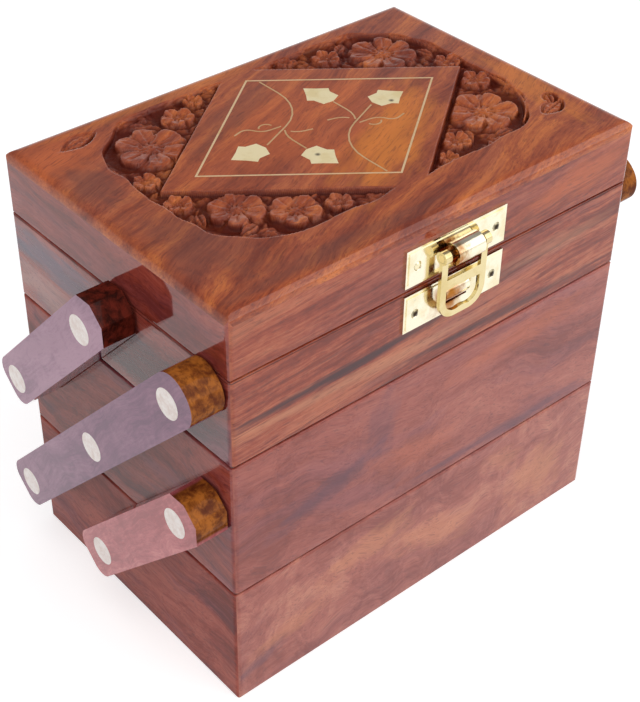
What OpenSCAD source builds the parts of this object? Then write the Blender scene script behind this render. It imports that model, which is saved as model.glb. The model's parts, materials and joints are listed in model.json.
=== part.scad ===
// Three-tier wooden jewelry box. The trays lift up and back on parallel side arms.
// Origin: centre of the underside. X runs along the front, Y to the rear, Z up.

/* [Box] */
// Width of the box over its side boards
box_w = 152; // [130:1:200]
// Depth of the box over its front and rear boards
box_d = 104; // [100:1:140]
// Thickness of the boards
wall_t = 8; // [7:0.5:11]
// Radius of the four upright outer corners
corner_r = 1.6; // [1:0.1:3]
// Rounding of the horizontal outer edges
edge_r = 0.8; // [0.4:0.1:1.2]

/* [Tiers] */
// Height of the base
base_h = 44.8; // [42:0.2:70]
// Height of the middle tray
mid_h = 48; // [40:0.5:70]
// Height of the top tray
top_h = 29; // [27:0.5:45]
// Gap between one tier and the next
tray_gap = 0.5; // [0.3:0.1:0.8]
// Gap between the top tray and the lid
lid_gap = 0.3; // [0.2:0.1:0.6]
// Thickness of the base's floor
base_floor_t = 5; // [4:0.5:8]
// Thickness of the trays' floors
tray_floor_t = 3.5; // [3:0.5:6]
// How far a floor reaches into the boards round it
floor_rebate = 3; // [2:0.5:4]
// Gap round a floor in its rebate
floor_fit = 0.1; // [0.05:0.05:0.2]
// Thickness of the velvet-covered card on each floor
lining_t = 1.2; // [0.8:0.1:2.5]
// Gap between a loose insert and the boards
insert_fit = 0.2; // [0.1:0.05:0.5]
// Thickness of the dividers
divider_t = 3; // [2:0.5:5]
// How far the dividers stay below the rim
divider_drop = 4; // [2:0.5:8]

/* [Lid] */
// Height of the lid
lid_h = 20.7; // [18:0.1:30]
// Thickness of the carved top board
lid_board_t = 10; // [8:0.5:12]
// Rounding of the lid's top edges
lid_round = 3.5; // [2:0.5:5]
// Distance of the ornament from the middle of the lid, to the right
motif_x = 2.9; // [-4:0.1:4]
// Distance of the ornament from the middle of the lid, to the rear
motif_y = 5.2; // [-6:0.1:6]
// Width of the carved field
carve_w = 124; // [115:1:126]
// Depth of the carved field, front to rear
carve_d = 80; // [76:1:82]
// Corner radius of the carved field
carve_r = 26; // [18:1:32]
// How deep the ground of the carving lies
carve_depth = 2.5; // [1.5:0.1:3.5]
// Width of the diamond left standing in the carving
diamond_w = 115; // [108:1:122]
// Depth of that diamond, front to rear
diamond_d = 88; // [78:1:96]
// Radius of a carved flower
flower_r = 11; // [9:0.2:11.2]
// Petals on a carved flower
petals = 8; // [6:1:10]

/* [Inlay] */
// Width of the brass line
line_w = 0.6; // [0.5:0.1:1.2]
// Width of the brass tendrils
vine_w = 0.5; // [0.5:0.1:1]
// Depth of the inlay
inlay_t = 1; // [0.6:0.1:1.5]
// How far the inlay stands above the wood
inlay_proud = 0.04; // [0.02:0.01:0.1]
// Size of the brass diamond line as a share of the wooden diamond
border_share = 0.79; // [0.7:0.01:0.88]

/* [Arms] */
// Width of an arm
arm_w = 16.2; // [14:0.2:18]
// Thickness of an arm
arm_t = 10.5; // [9.5:0.5:14]
// Gap between an arm and the boards
arm_gap = 1; // [0.6:0.1:2]
// Step of the pivots along the depth of the box
pivot_step = 40.5; // [36:0.5:41]
// Height of the base's pivots above the underside
base_pivot_z = 30.2; // [27:0.2:34]
// Height of the top tray's pivots above its underside
top_pivot_z = 21.4; // [18:0.2:22]
// Upper arm past its front pivot
upper_front = 13.5; // [10:0.5:15]
// Upper arm past its rear pivot
upper_rear = 6.6; // [6:0.2:12]
// Long arm past its front pivot
long_front = 11.5; // [9:0.5:15]
// Long arm past its rear pivot
long_rear = 7.6; // [6:0.2:12]
// Lower arm past its front pivot
lower_front = 10.8; // [9:0.2:15]
// Lower arm past its rear pivot
lower_rear = 10.6; // [6:0.2:12]
// How much shorter the right long arm's front end is than the left one's
right_trim = 4.5; // [0:0.5:4.5]
// How much further back the right lower arm sits than the left one
right_lower_back = 9; // [0:0.5:12]
// Corner cut on a faceted front end
nose_cut = 4.6; // [3:0.2:6]
// Corner radius on the round front end
nose_r = 7.6; // [5:0.2:8]
// Corner radius on the rear ends
tail_r = 5; // [3:0.2:7]

/* [Pivots] */
// Diameter of a pivot screw
screw_d = 4; // [3:0.2:5]
// Radial running clearance of an arm on its screw
screw_play = 0.06; // [0.02:0.01:0.1]
// Length of a pivot screw inside its board
screw_in = 6.4; // [4:0.2:6.4]
// Diameter of a pivot screw's head
head_d = 8; // [7:0.2:8.6]
// Height of a pivot screw's head
head_t = 2.4; // [2:0.1:2.6]
// Gap above and below the head in its counterbore
head_gap = 0.15; // [0.1:0.05:0.3]
// Diameter of the pale plug over a pivot screw
plug_d = 9.4; // [9:0.1:10.4]
// Thickness of the plug
plug_t = 2.6; // [2:0.1:3]
// Diameter of a pivot washer
washer_d = 10; // [8:0.5:12]
// Gap between a washer and its arm
washer_gap = 0.1; // [0.05:0.05:0.2]

/* [Latch] */
// Distance of the latch from the middle of the front, to the right
latch_x = 2.8; // [-10:0.1:10]
// Width of both latch plates
plate_w = 38.2; // [34:0.2:44]
// Height of the upper plate
upper_plate_h = 12.2; // [11.8:0.1:12.6]
// Height of the lower plate
lower_plate_h = 12.4; // [11:0.2:14]
// Thickness of the latch's sheet
plate_t = 1; // [0.8:0.1:1.2]
// Width of the stepped border round a plate
plate_border = 0.9; // [0.6:0.1:1.4]
// How far the upper plate's lower edge lies above the lid's underside
upper_plate_up = 1.9; // [1.4:0.1:2.4]
// How far the lower plate's top edge lies below the tray's rim
lower_plate_down = 0.6; // [0.3:0.1:2]
// Spacing of the nails in a plate
nail_span = 30; // [28:0.2:33]
// Outer radius of the upper plate's knuckle
knuckle_r = 3.4; // [3:0.05:3.5]
// Wall of that knuckle at its hollow ends
knuckle_wall = 0.9; // [0.8:0.1:1.1]
// Depth of those hollow ends
knuckle_hollow = 1.6; // [1:0.1:2]
// Width of the upper plate's knuckle
plate_knuckle_w = 10; // [8:0.2:10.4]
// Radius of the latch's pin
latch_pin_r = 1.2; // [1:0.05:1.3]
// Outer radius of the hasp's eyes
eye_r = 2; // [1.9:0.05:2.2]
// Radial running clearance of the hasp on its pin
pin_play = 0.06; // [0.02:0.01:0.1]
// Width of the hasp
hasp_w = 17.6; // [16:0.2:20]
// Distance from the pin down to the hasp's lower end
hasp_drop = 21.2; // [20.6:0.1:22]
// Thickness of the hasp
hasp_t = 1.2; // [1:0.1:1.4]
// Width of the hasp's legs
leg_w = 2.3; // [1.8:0.1:2.6]
// Height of the hasp's lower rim
rim_w = 2.2; // [1.6:0.1:2.6]
// Height of the bar between the hasp's windows
crossbar_w = 3.3; // [2.6:0.1:3.6]
// Distance from the pin down to that bar
crossbar_drop = 8; // [7.9:0.1:8.3]
// Outer radius of the catch's curled tongue
tongue_r = 3.1; // [3:0.05:3.2]
// Thickness of that tongue
tongue_t = 0.9; // [0.7:0.05:1.1]
// Width of the tongue
tongue_w = 9; // [7:0.2:10.4]
// Height of the hole that the tongue is lifted from
tongue_hole_h = 6; // [5.8:0.1:6.4]
// Gap between the tongue and the back of the hasp
catch_gap = 0.26; // [0.2:0.02:0.6]
// Diameter of a latch nail's head
nail_head_d = 2.6; // [2.2:0.1:3]
// Diameter of a latch nail's shank
nail_d = 1.3; // [1:0.1:1.5]
// Length of a latch nail's shank
nail_l = 6; // [4:0.5:6.5]

/* [Hinges] */
// Distance of each hinge from the middle of the rear
hinge_x = 46; // [30:1:48]
// Length of a hinge
hinge_l = 22; // [18:0.5:26]
// Gap between neighbouring knuckles of a hinge
knuckle_gap = 0.2; // [0.1:0.05:0.3]
// Height of a hinge leaf
leaf_h = 10; // [8.5:0.1:10.2]
// Thickness of a hinge leaf
leaf_t = 1; // [0.8:0.1:1.2]
// Outer radius of a hinge's knuckles
hinge_r = 1.7; // [1.5:0.05:2]
// Gap between the knuckles and the boards
hinge_off = 0.2; // [0.1:0.05:0.4]
// Radius of a hinge pin
hinge_pin_r = 0.8; // [0.6:0.05:0.9]
// Spacing of the two screws in a leaf
leaf_screw_span = 12; // [10:0.5:14]
// Diameter of a leaf screw's head
leaf_head_d = 3; // [2.6:0.1:3.2]
// Diameter of a leaf screw's shank
leaf_screw_d = 1.6; // [1.2:0.1:1.8]
// Length of a leaf screw inside its board
leaf_screw_l = 6; // [4:0.5:6.5]

/* [Hidden] */
$fn = 64;
round_flats = 5;

// Heights of the tiers
mid_z = base_h + tray_gap;
top_z = mid_z + mid_h + tray_gap;
rim_z = top_z + top_h;
lid_z = rim_z + lid_gap;
lid_rim_h = lid_h - lid_board_t;
lid_top_z = lid_z + lid_h;

// Room inside the boards
in_w = box_w - 2 * wall_t;
in_d = box_d - 2 * wall_t;

// Every arm steps by the same amounts from pivot to pivot, so that all stay parallel.
// Each list holds the left side's pivots and then the right side's
low_pivot_z = base_pivot_z;
high_pivot_z = top_z + top_pivot_z;
mean_pivot_z = (low_pivot_z + high_pivot_z) / 2;
pivot_rise = mean_pivot_z - low_pivot_z;
arm_pitch = sqrt(pivot_step * pivot_step + pivot_rise * pivot_rise);
arm_lean = atan2(pivot_step, pivot_rise);
base_pivots = [for (back = [0, right_lower_back]) [[back, low_pivot_z], [pivot_step, low_pivot_z]]];
middle_pivots = [for (back = [0, right_lower_back])
    [[back - pivot_step, mean_pivot_z], [0, mean_pivot_z], [pivot_step, mean_pivot_z]]];
top_pivots = [for (side = [0, 1]) [[-pivot_step, high_pivot_z], [0, high_pivot_z]]];
screw_fit = 0.02;
counterbore = plug_t + head_t + 2 * head_gap;
head_z = arm_gap + arm_t - counterbore + head_gap;
slot_w = 1;
slot_t = 1;

// Latch heights and stand-off from the front
front_y = -box_d / 2;
upper_plate_z = lid_z + upper_plate_up;
lower_plate_z = rim_z - lower_plate_down - lower_plate_h;
knuckle_off = 0.14;
pin_out = knuckle_r + knuckle_off;
latch_pin_z = upper_plate_z + upper_plate_h - 5;
hasp_back = pin_out - hasp_t / 2;
tongue_out = hasp_back - catch_gap - tongue_r;
window_w = hasp_w - 2 * leg_w;
window_bottom_z = latch_pin_z - hasp_drop + rim_w;
window_top_z = latch_pin_z - crossbar_drop - crossbar_w;
tongue_z = (window_bottom_z + window_top_z) / 2;
tongue_turn = 65;
tongue_hole_w = tongue_w + 1;
hasp_corner_r = 6;
window_corner_r = 4;
upper_nail_z = latch_pin_z - 0.8;
lower_nail_z = lower_plate_z + 5.6;
nail_points = [-nail_span / 2, nail_span / 2];

// Hinge axis
rear_y = box_d / 2;
hinge_y = rear_y + hinge_r + hinge_off;
hinge_z = rim_z + lid_gap / 2;
hinge_play = 0.06;
hinge_knuckle = (hinge_l - 2 * knuckle_gap) / 3;
leaf_clear = hinge_r + 0.2;
leaf_screw_z = leaf_h - 3.2;

// Carving and inlay
ground_z = lid_top_z - carve_depth;
border_w = diamond_w * border_share;
border_d = diamond_d * border_share;
vine_u = border_d / 68;
// Each wire of a vine has its start, its heading and its steps: a step is a straight
// [length] or a turn [radius, angle], to the left where the angle is positive
vine_wires = [
    [[2.6, 31], -90, [[9], [18, -66], [12]]],
    [[-9.9, 4], -125, [[10, 35], [6]]],
    [[-9.4, 6.3], 175, [[3.6], [5, -60], [3, 80], [2.5]]],
    [[-15.2, 9.2], 60, [[2.2, -140]]],
    [[-9, 2.4], -55, [[6, 40], [2.5]]]
];
wire_turn = 12;
leaf_outline = [
    [6.2, 0], [3, 2.6], [0.6, 5], [-0.9, 3.7], [-4.4, 3.4],
    [-5.4, 0], [-4.4, -3.4], [-0.9, -3.7], [0.6, -5], [3, -2.6]
];
leaf_places = [[-25.6, 0.2, 175], [-11.2, -13.4, -80]];

// Shared forms

module rounded_rect(w, d, r) {
    square([w - 2 * r, d], center = true);
    square([w, d - 2 * r], center = true);
    for (x = [-1, 1], y = [-1, 1])
        translate([x * (w / 2 - r), y * (d / 2 - r)])
            circle(r = r);
}

// A quarter circle of short flats, from angle a
function quarter(x, y, r, a) = [
    for (i = [0 : round_flats])
        [x + r * cos(a + i * 90 / round_flats), y + r * sin(a + i * 90 / round_flats)]
];

// A rectangle from y = y0 to y1 with its own rounding above and below
function soft_rect(w, y0, y1, r_top, r_bottom) = concat(
    quarter(w / 2 - r_top, y1 - r_top, r_top, 0),
    quarter(-w / 2 + r_top, y1 - r_top, r_top, 90),
    quarter(-w / 2 + r_bottom, y0 + r_bottom, r_bottom, 180),
    quarter(w / 2 - r_bottom, y0 + r_bottom, r_bottom, 270)
);

// Plan of the whole box
module box_plan() {
    polygon(soft_rect(box_w, -box_d / 2, box_d / 2, corner_r, corner_r));
}

// The height of a tier, with rounded edges at the front and rear
module front_section(h, r_top) {
    rotate([90, 0, 90])
        linear_extrude(box_w + 2, center = true)
            polygon(soft_rect(box_d, 0, h, r_top, edge_r));
}

// The same with rounded edges at the sides
module side_section(h, r_top) {
    rotate([90, 0, 0])
        linear_extrude(box_d + 2, center = true)
            polygon(soft_rect(box_w, 0, h, r_top, edge_r));
}

// One mitred board of a tier, h high, with the tier's edges rounded outside
module mitred_board(place, h, r_top, cut_h) {
    intersection() {
        linear_extrude(cut_h)
            intersection() {
                box_plan();
                board_plan(place);
            }
        if (place == "front" || place == "rear")
            front_section(h, r_top);
        else
            side_section(h, r_top);
    }
}

// Plan of one mitred board: place is front, rear, left or right
module board_plan(place) {
    w = box_w / 2;
    d = box_d / 2;
    t = wall_t;
    if (place == "front") polygon([[-w, -d], [w, -d], [w - t, -d + t], [-w + t, -d + t]]);
    if (place == "rear") polygon([[-w, d], [-w + t, d - t], [w - t, d - t], [w, d]]);
    if (place == "left") polygon([[-w, -d], [-w + t, -d + t], [-w + t, d - t], [-w, d]]);
    if (place == "right") polygon([[w, -d], [w, d], [w - t, d - t], [w - t, -d + t]]);
}

// One board of a tray, with the rebate for its floor
module tray_board(place, z, h, floor_t) {
    translate([0, 0, z])
        difference() {
            mitred_board(place, h, edge_r, h);
            translate([0, 0, -1])
                linear_extrude(floor_t + 1)
                    square([in_w + 2 * floor_rebate, in_d + 2 * floor_rebate], center = true);
        }
}

// A side board with the holes that its pivot screws go into
module pivot_board(place, z, h, floor_t, pivots) {
    side = place == "left" ? -1 : 1;
    difference() {
        tray_board(place, z, h, floor_t);
        at_pivots(side, pivots)
            translate([0, 0, -screw_in - 0.4])
                cylinder(d = screw_d + 2 * screw_fit, h = screw_in + 1);
    }
}

// Puts its children on a side of the box, their +Z pointing away from the board
module at_pivots(side, pivots) {
    for (p = pivots[side < 0 ? 0 : 1])
        translate([side * box_w / 2, p[0], p[1]])
            rotate([0, side * 90, 0])
                children();
}

module floor_panel(z, t) {
    reach = 2 * (floor_rebate - floor_fit);
    translate([0, 0, z])
        linear_extrude(t)
            square([in_w + reach, in_d + reach], center = true);
}

module lining(z) {
    translate([0, 0, z])
        linear_extrude(lining_t)
            rounded_rect(in_w - 2 * insert_fit, in_d - 2 * insert_fit, 1);
}

// A divider runs from front to rear on the lining
module divider(x, z, h) {
    translate([x - divider_t / 2, -in_d / 2 + insert_fit, z])
        cube([divider_t, in_d - 2 * insert_fit, h]);
}

module pivot_screw() {
    difference() {
        union() {
            translate([0, 0, -screw_in])
                cylinder(d = screw_d, h = screw_in + head_z + head_t / 2);
            translate([0, 0, head_z])
                cylinder(d = head_d, h = head_t);
        }
        translate([-head_d, -slot_w / 2, head_z + head_t - slot_t])
            cube([2 * head_d, slot_w, slot_t + 1]);
    }
}

module washer() {
    difference() {
        cylinder(d = washer_d, h = arm_gap - washer_gap);
        translate([0, 0, -1])
            cylinder(d = screw_d + 2 * screw_play, h = arm_gap + 2);
    }
}

module screw_set(pivots) {
    color("darkgoldenrod")
        for (side = [-1, 1])
            at_pivots(side, pivots)
                pivot_screw();
}

module washer_set(pivots) {
    color("goldenrod")
        for (side = [-1, 1])
            at_pivots(side, pivots)
                washer();
}

// Arms

// Faceted front end, rounded rear end. The rear pivot is at the origin, the front one on +X
module faceted_arm(length, front, rear) {
    tip = length + front;
    half = arm_w / 2;
    translate([-rear + tail_r, -half])
        square([tip + rear - tail_r - nose_cut, arm_w]);
    translate([-rear, -half + tail_r])
        square([tail_r + 1, arm_w - 2 * tail_r]);
    for (y = [-1, 1])
        translate([-rear + tail_r, y * (half - tail_r)])
            circle(r = tail_r);
    polygon([
        [tip - nose_cut - 1, -half], [tip - nose_cut, -half], [tip, -half + nose_cut],
        [tip, half - nose_cut], [tip - nose_cut, half], [tip - nose_cut - 1, half]
    ]);
}

// The same arm with a round front end
module round_arm(length, front, rear) {
    tip = length + front;
    half = arm_w / 2;
    translate([-rear + tail_r, -half])
        square([tip + rear - tail_r - nose_r, arm_w]);
    translate([-rear, -half + tail_r])
        square([tail_r + 1, arm_w - 2 * tail_r]);
    translate([tip - nose_r - 1, -half + nose_r])
        square([nose_r + 1, arm_w - 2 * nose_r]);
    for (y = [-1, 1]) {
        translate([-rear + tail_r, y * (half - tail_r)])
            circle(r = tail_r);
        translate([tip - nose_r, y * (half - nose_r)])
            circle(r = nose_r);
    }
}

// Lays a left arm drawn along +X on its line of pivots, its thickness going outwards
module on_left_line(start, out) {
    translate([-box_w / 2 - out, start[0], start[1]])
        rotate([0, -90, 0])
            rotate([0, 0, -arm_lean])
                children();
}

module drilled_arm(start, count) {
    color("sienna")
        on_left_line(start, arm_gap)
            difference() {
                linear_extrude(arm_t)
                    children();
                for (i = [0 : count - 1])
                    translate([i * arm_pitch, 0, 0]) {
                        translate([0, 0, -1])
                            cylinder(d = screw_d + 2 * screw_play, h = arm_t + 2);
                        translate([0, 0, arm_t - counterbore])
                            cylinder(d = plug_d, h = counterbore + 1);
                    }
            }
}

module arm_plugs(start, count) {
    color("wheat")
        on_left_line(start, arm_gap + arm_t - plug_t)
            for (i = [0 : count - 1])
                translate([i * arm_pitch, 0, 0])
                    cylinder(d = plug_d - 2 * screw_fit, h = plug_t);
}

// The arms are drawn as left ones, and mirrored for the right side
module long_arm(front) {
    drilled_arm(base_pivots[0][1], 3)
        round_arm(2 * arm_pitch, front, long_rear);
}

module upper_arm() {
    drilled_arm(middle_pivots[0][2], 2)
        faceted_arm(arm_pitch, upper_front, upper_rear);
}

module lower_arm(start) {
    drilled_arm(start, 2)
        faceted_arm(arm_pitch, lower_front, lower_rear);
}

// Lid

module lid_rim(place) {
    color("sienna")
        translate([0, 0, lid_z])
            mitred_board(place, lid_h, lid_round, lid_rim_h);
}

module diamond(w, d) {
    polygon([[-w / 2, 0], [0, -d / 2], [w / 2, 0], [0, d / 2]]);
}

// A flower with a ring of round petals and a boss, flat on the ground of the carving
module carved_flower(r) {
    petal_r = 0.32 * r;
    boss_r = 0.3 * r;
    petal_h = carve_depth - 0.7;
    for (i = [0 : petals - 1])
        rotate(i * 360 / petals)
            translate([r - petal_r, 0, 0])
                cylinder(r = petal_r, h = petal_h);
    cylinder(r = r - petal_r, h = petal_h - 0.4);
    cylinder(r = boss_r, h = petal_h + 0.3);
}

// The carving and the inlay share one middle, a little off the lid's own
module at_motif(z) {
    translate([motif_x, motif_y, z])
        children();
}

// The flowers stand in the four corners of the carved field, clear of its edge
module carving() {
    x = carve_w / 2 - carve_r * 0.68;
    y = carve_d / 2 - carve_r * 0.6;
    for (sx = [-1, 1], sy = [-1, 1])
        translate([sx * x, sy * y, 0])
            carved_flower(flower_r);
}

module lid_carved_board() {
    color("sienna") {
        difference() {
            translate([0, 0, lid_z])
                intersection() {
                    translate([0, 0, lid_rim_h])
                        linear_extrude(lid_board_t)
                            box_plan();
                    front_section(lid_h, lid_round);
                    side_section(lid_h, lid_round);
                }
            at_motif(ground_z)
                linear_extrude(carve_depth + 1)
                    difference() {
                        rounded_rect(carve_w, carve_d, carve_r);
                        diamond(diamond_w, diamond_d);
                    }
            at_motif(lid_top_z - inlay_t) {
                linear_extrude(inlay_t + 1)
                    border_line();
                both_halves() {
                    vine(inlay_t + 1);
                    leaf_pair(inlay_t + 1);
                }
            }
        }
        at_motif(ground_z)
            carving();
    }
}

module border_line() {
    half_edge = line_w / 2 * sqrt(border_w * border_w + border_d * border_d);
    difference() {
        diamond(border_w + half_edge / border_d * 2, border_d + half_edge / border_w * 2);
        diamond(border_w - half_edge / border_d * 2, border_d - half_edge / border_w * 2);
    }
}

// The inlay repeats after half a turn
module both_halves() {
    for (a = [0, 180])
        rotate(a)
            children();
}

// Where a turn of t degrees from point x, y and heading a ends
function turned(x, y, a, r, t) = [
    x + sign(t) * r * (sin(a + t) - sin(a)),
    y - sign(t) * r * (cos(a + t) - cos(a)),
    a + t
];

// The points and headings along a wire
function wire_line(steps, x, y, a, i = 0) =
    i == len(steps) ? [[x, y, a]] :
    len(steps[i]) == 1 ? concat(
        [[x, y, a]],
        wire_line(steps, x + steps[i][0] * cos(a), y + steps[i][0] * sin(a), a, i + 1)
    ) :
    let (r = steps[i][0], t = steps[i][1], n = ceil(abs(t) / wire_turn), end = turned(x, y, a, r, t))
    concat(
        [for (k = [0 : n - 1]) turned(x, y, a, r, t * k / n)],
        wire_line(steps, end[0], end[1], end[2], i + 1)
    );

// The edge of a wire, on the left for side 1 and on the right for side -1
function wire_edge(line, side) = [
    for (p = line)
        [p[0] * vine_u - side * vine_w / 2 * sin(p[2]), p[1] * vine_u + side * vine_w / 2 * cos(p[2])]
];

function backwards(list) = [for (i = [len(list) - 1 : -1 : 0]) list[i]];

module vine(h) {
    for (wire = vine_wires) {
        line = wire_line(wire[2], wire[0][0], wire[0][1], wire[1]);
        linear_extrude(h)
            polygon(concat(wire_edge(line, 1), backwards(wire_edge(line, -1))));
    }
}

module leaf_pair(h) {
    for (p = leaf_places)
        translate([p[0] * vine_u, p[1] * vine_u, 0])
            rotate(p[2])
                linear_extrude(h)
                    scale([vine_u, vine_u])
                        polygon(leaf_outline);
}

module inlay_level() {
    color("gold")
        at_motif(lid_top_z - inlay_t)
            children();
}

// Latch: every part is drawn against the front, with s the distance out from it

module at_latch(s, z) {
    translate([latch_x, front_y - s, z])
        children();
}

module across(r, w) {
    rotate([0, 90, 0])
        cylinder(r = r, h = w, center = true);
}

module bordered_plate(h) {
    translate([-plate_w / 2, -plate_t * 0.7, 0])
        cube([plate_w, plate_t * 0.7, h]);
    translate([-plate_w / 2 + plate_border, -plate_t, plate_border])
        cube([plate_w - 2 * plate_border, plate_t, h - 2 * plate_border]);
}

// Dished nail hole through a plate
module nail_hole() {
    rotate([90, 0, 0]) {
        translate([0, 0, -1])
            cylinder(d = nail_d + 0.4, h = plate_t + 2);
        translate([0, 0, plate_t * 0.35])
            cylinder(r1 = nail_d / 2 + 0.2, r2 = nail_head_d / 2 + 0.55, h = plate_t);
    }
}

module nail() {
    rotate([90, 0, 0]) {
        translate([0, 0, -nail_l])
            cylinder(d = nail_d, h = nail_l + plate_t * 0.6);
        translate([0, 0, plate_t * 0.5])
            cylinder(r1 = nail_d / 2, r2 = nail_head_d / 2, h = plate_t * 0.4);
        translate([0, 0, plate_t * 0.9])
            cylinder(r1 = nail_head_d / 2, r2 = nail_head_d / 4, h = 0.4);
    }
}

module nail_bores(z) {
    for (x = nail_points)
        at_latch(0, z)
            translate([x, 0, 0])
                rotate([-90, 0, 0])
                    translate([0, 0, -1])
                        cylinder(d = nail_d + 2 * screw_fit, h = nail_l + 1.3);
}

// The upper plate, its middle rolled into a knuckle that is hollow at both ends
module latch_plate() {
    hollow_x = (plate_knuckle_w - knuckle_hollow) / 2;
    color("khaki")
        difference() {
            union() {
                at_latch(0, upper_plate_z)
                    bordered_plate(upper_plate_h);
                at_latch(pin_out, latch_pin_z)
                    across(knuckle_r, plate_knuckle_w);
            }
            at_latch(pin_out, latch_pin_z) {
                across(latch_pin_r + screw_fit, hasp_w);
                for (side = [-1, 1])
                    translate([side * hollow_x, 0, 0])
                        across(knuckle_r - knuckle_wall, knuckle_hollow + 0.02);
            }
            for (x = nail_points)
                at_latch(0, upper_nail_z)
                    translate([x, 0, 0])
                        nail_hole();
        }
}

module latch_pin() {
    color("darkgoldenrod")
        at_latch(pin_out, latch_pin_z)
            across(latch_pin_r, hasp_w);
}

// The hasp hangs by an eye on each leg, outside the knuckle
module hasp() {
    color("khaki")
        difference() {
            union() {
                at_latch(hasp_back, latch_pin_z)
                    rotate([90, 0, 0])
                        linear_extrude(hasp_t)
                            hasp_outline();
                for (x = [-1, 1])
                    at_latch(pin_out, latch_pin_z)
                        translate([x * (hasp_w - leg_w) / 2, 0, 0])
                            across(eye_r, leg_w);
            }
            at_latch(pin_out, latch_pin_z)
                across(latch_pin_r + pin_play, hasp_w + 2);
        }
}

// Front view of the hasp, hanging from the pin at the origin
module hasp_outline() {
    window_h = hasp_drop - rim_w - crossbar_drop - crossbar_w;
    difference() {
        union() {
            translate([-hasp_w / 2, -hasp_drop + hasp_corner_r])
                square([hasp_w, hasp_drop - hasp_corner_r]);
            translate([0, -hasp_drop + hasp_corner_r])
                rounded_rect(hasp_w, 2 * hasp_corner_r, hasp_corner_r - 0.01);
        }
        translate([-window_w / 2, -crossbar_drop])
            square([window_w, crossbar_drop + 1]);
        translate([0, -crossbar_drop - crossbar_w - window_h / 2]) {
            rounded_rect(window_w, window_h, window_corner_r);
            translate([-window_w / 2, 0])
                square([window_w, window_h / 2]);
        }
    }
}

// The lower plate with a tongue lifted out of it, held at its top and free below
module catch_plate() {
    hole_top = tongue_z + tongue_r * sin(tongue_turn) - tongue_t / 2;
    color("khaki")
        difference() {
            union() {
                difference() {
                    at_latch(0, lower_plate_z)
                        bordered_plate(lower_plate_h);
                    at_latch(plate_t + 1, hole_top - tongue_hole_h)
                        translate([-tongue_hole_w / 2, 0, 0])
                            cube([tongue_hole_w, plate_t + 2, tongue_hole_h]);
                }
                at_latch(tongue_out, tongue_z)
                    rotate([0, 90, 0])
                        rotate([0, 0, -90 - tongue_turn])
                            translate([0, 0, -tongue_w / 2])
                                rotate_extrude(angle = 2 * tongue_turn)
                                    translate([tongue_r - tongue_t, 0])
                                        square([tongue_t, tongue_w]);
            }
            for (x = nail_points)
                at_latch(0, lower_nail_z)
                    translate([x, 0, 0])
                        nail_hole();
        }
}

module nail_pair(z) {
    color("wheat")
        for (x = nail_points)
            at_latch(0, z)
                translate([x, 0, 0])
                    nail();
}

// Hinges: drawn about their own axis, then set on the rear twice

module at_hinges() {
    for (x = [-hinge_x, hinge_x])
        translate([x, hinge_y, hinge_z])
            children();
}

// A leaf on the side of dir, 1 for the lid and -1 for the tray, with its knuckles
module hinge_leaf(dir, knuckle_places, bore_r) {
    wood = -hinge_r - hinge_off;
    difference() {
        union() {
            translate([-hinge_l / 2, wood, dir > 0 ? leaf_clear : -leaf_h])
                cube([hinge_l, leaf_t, leaf_h - leaf_clear]);
            for (x = knuckle_places) {
                translate([x, 0, 0])
                    across(hinge_r, hinge_knuckle);
                translate([x - hinge_knuckle / 2, wood, dir > 0 ? 0 : -leaf_clear - 0.5])
                    cube([hinge_knuckle, leaf_t, leaf_clear + 0.5]);
            }
        }
        across(bore_r, hinge_l + 2);
        for (x = [-1, 1])
            translate([x * leaf_screw_span / 2, wood, dir * leaf_screw_z])
                leaf_screw_hole();
    }
}

module leaf_screw_hole() {
    rotate([-90, 0, 0]) {
        translate([0, 0, -1])
            cylinder(d = leaf_screw_d + 2 * screw_fit, h = leaf_t + 2);
        translate([0, 0, leaf_t * 0.2])
            cylinder(r1 = leaf_screw_d / 2, r2 = leaf_head_d / 2, h = leaf_t * 0.8);
        translate([0, 0, leaf_t])
            cylinder(d = leaf_head_d, h = 1);
    }
}

module leaf_screw() {
    cone_z = leaf_t * 0.2 + screw_fit;
    rotate([-90, 0, 0])
        difference() {
            union() {
                translate([0, 0, -leaf_screw_l])
                    cylinder(d = leaf_screw_d, h = leaf_screw_l + leaf_t * 0.6);
                translate([0, 0, cone_z])
                    cylinder(r1 = leaf_screw_d / 2, r2 = leaf_head_d / 2 - screw_fit, h = leaf_t - cone_z);
            }
            translate([-leaf_head_d, -0.25, leaf_t * 0.75])
                cube([2 * leaf_head_d, 0.5, 1]);
        }
}

module leaf_screws(dir) {
    color("darkgoldenrod")
        at_hinges()
            for (x = [-1, 1])
                translate([x * leaf_screw_span / 2, -hinge_r - hinge_off, dir * leaf_screw_z])
                    leaf_screw();
}

module leaf_bores(dir) {
    at_hinges()
        for (x = [-1, 1])
            translate([x * leaf_screw_span / 2, -hinge_r - hinge_off, dir * leaf_screw_z])
                rotate([90, 0, 0])
                    translate([0, 0, -1])
                        cylinder(d = leaf_screw_d + 2 * screw_fit, h = leaf_screw_l + 1.3);
}

// Sub-parts

module base_board(place) {
    color("indianred")
        if (place == "left" || place == "right")
            pivot_board(place, 0, base_h, base_floor_t, base_pivots);
        else
            tray_board(place, 0, base_h, base_floor_t);
}

module middle_board(place) {
    color("brown")
        if (place == "left" || place == "right")
            pivot_board(place, mid_z, mid_h, tray_floor_t, middle_pivots);
        else
            tray_board(place, mid_z, mid_h, tray_floor_t);
}

module top_board(place) {
    color("sienna")
        if (place == "left" || place == "right")
            pivot_board(place, top_z, top_h, tray_floor_t, top_pivots);
        else
            difference() {
                tray_board(place, top_z, top_h, tray_floor_t);
                if (place == "front") nail_bores(lower_nail_z);
                if (place == "rear") leaf_bores(-1);
            }
}

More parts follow.
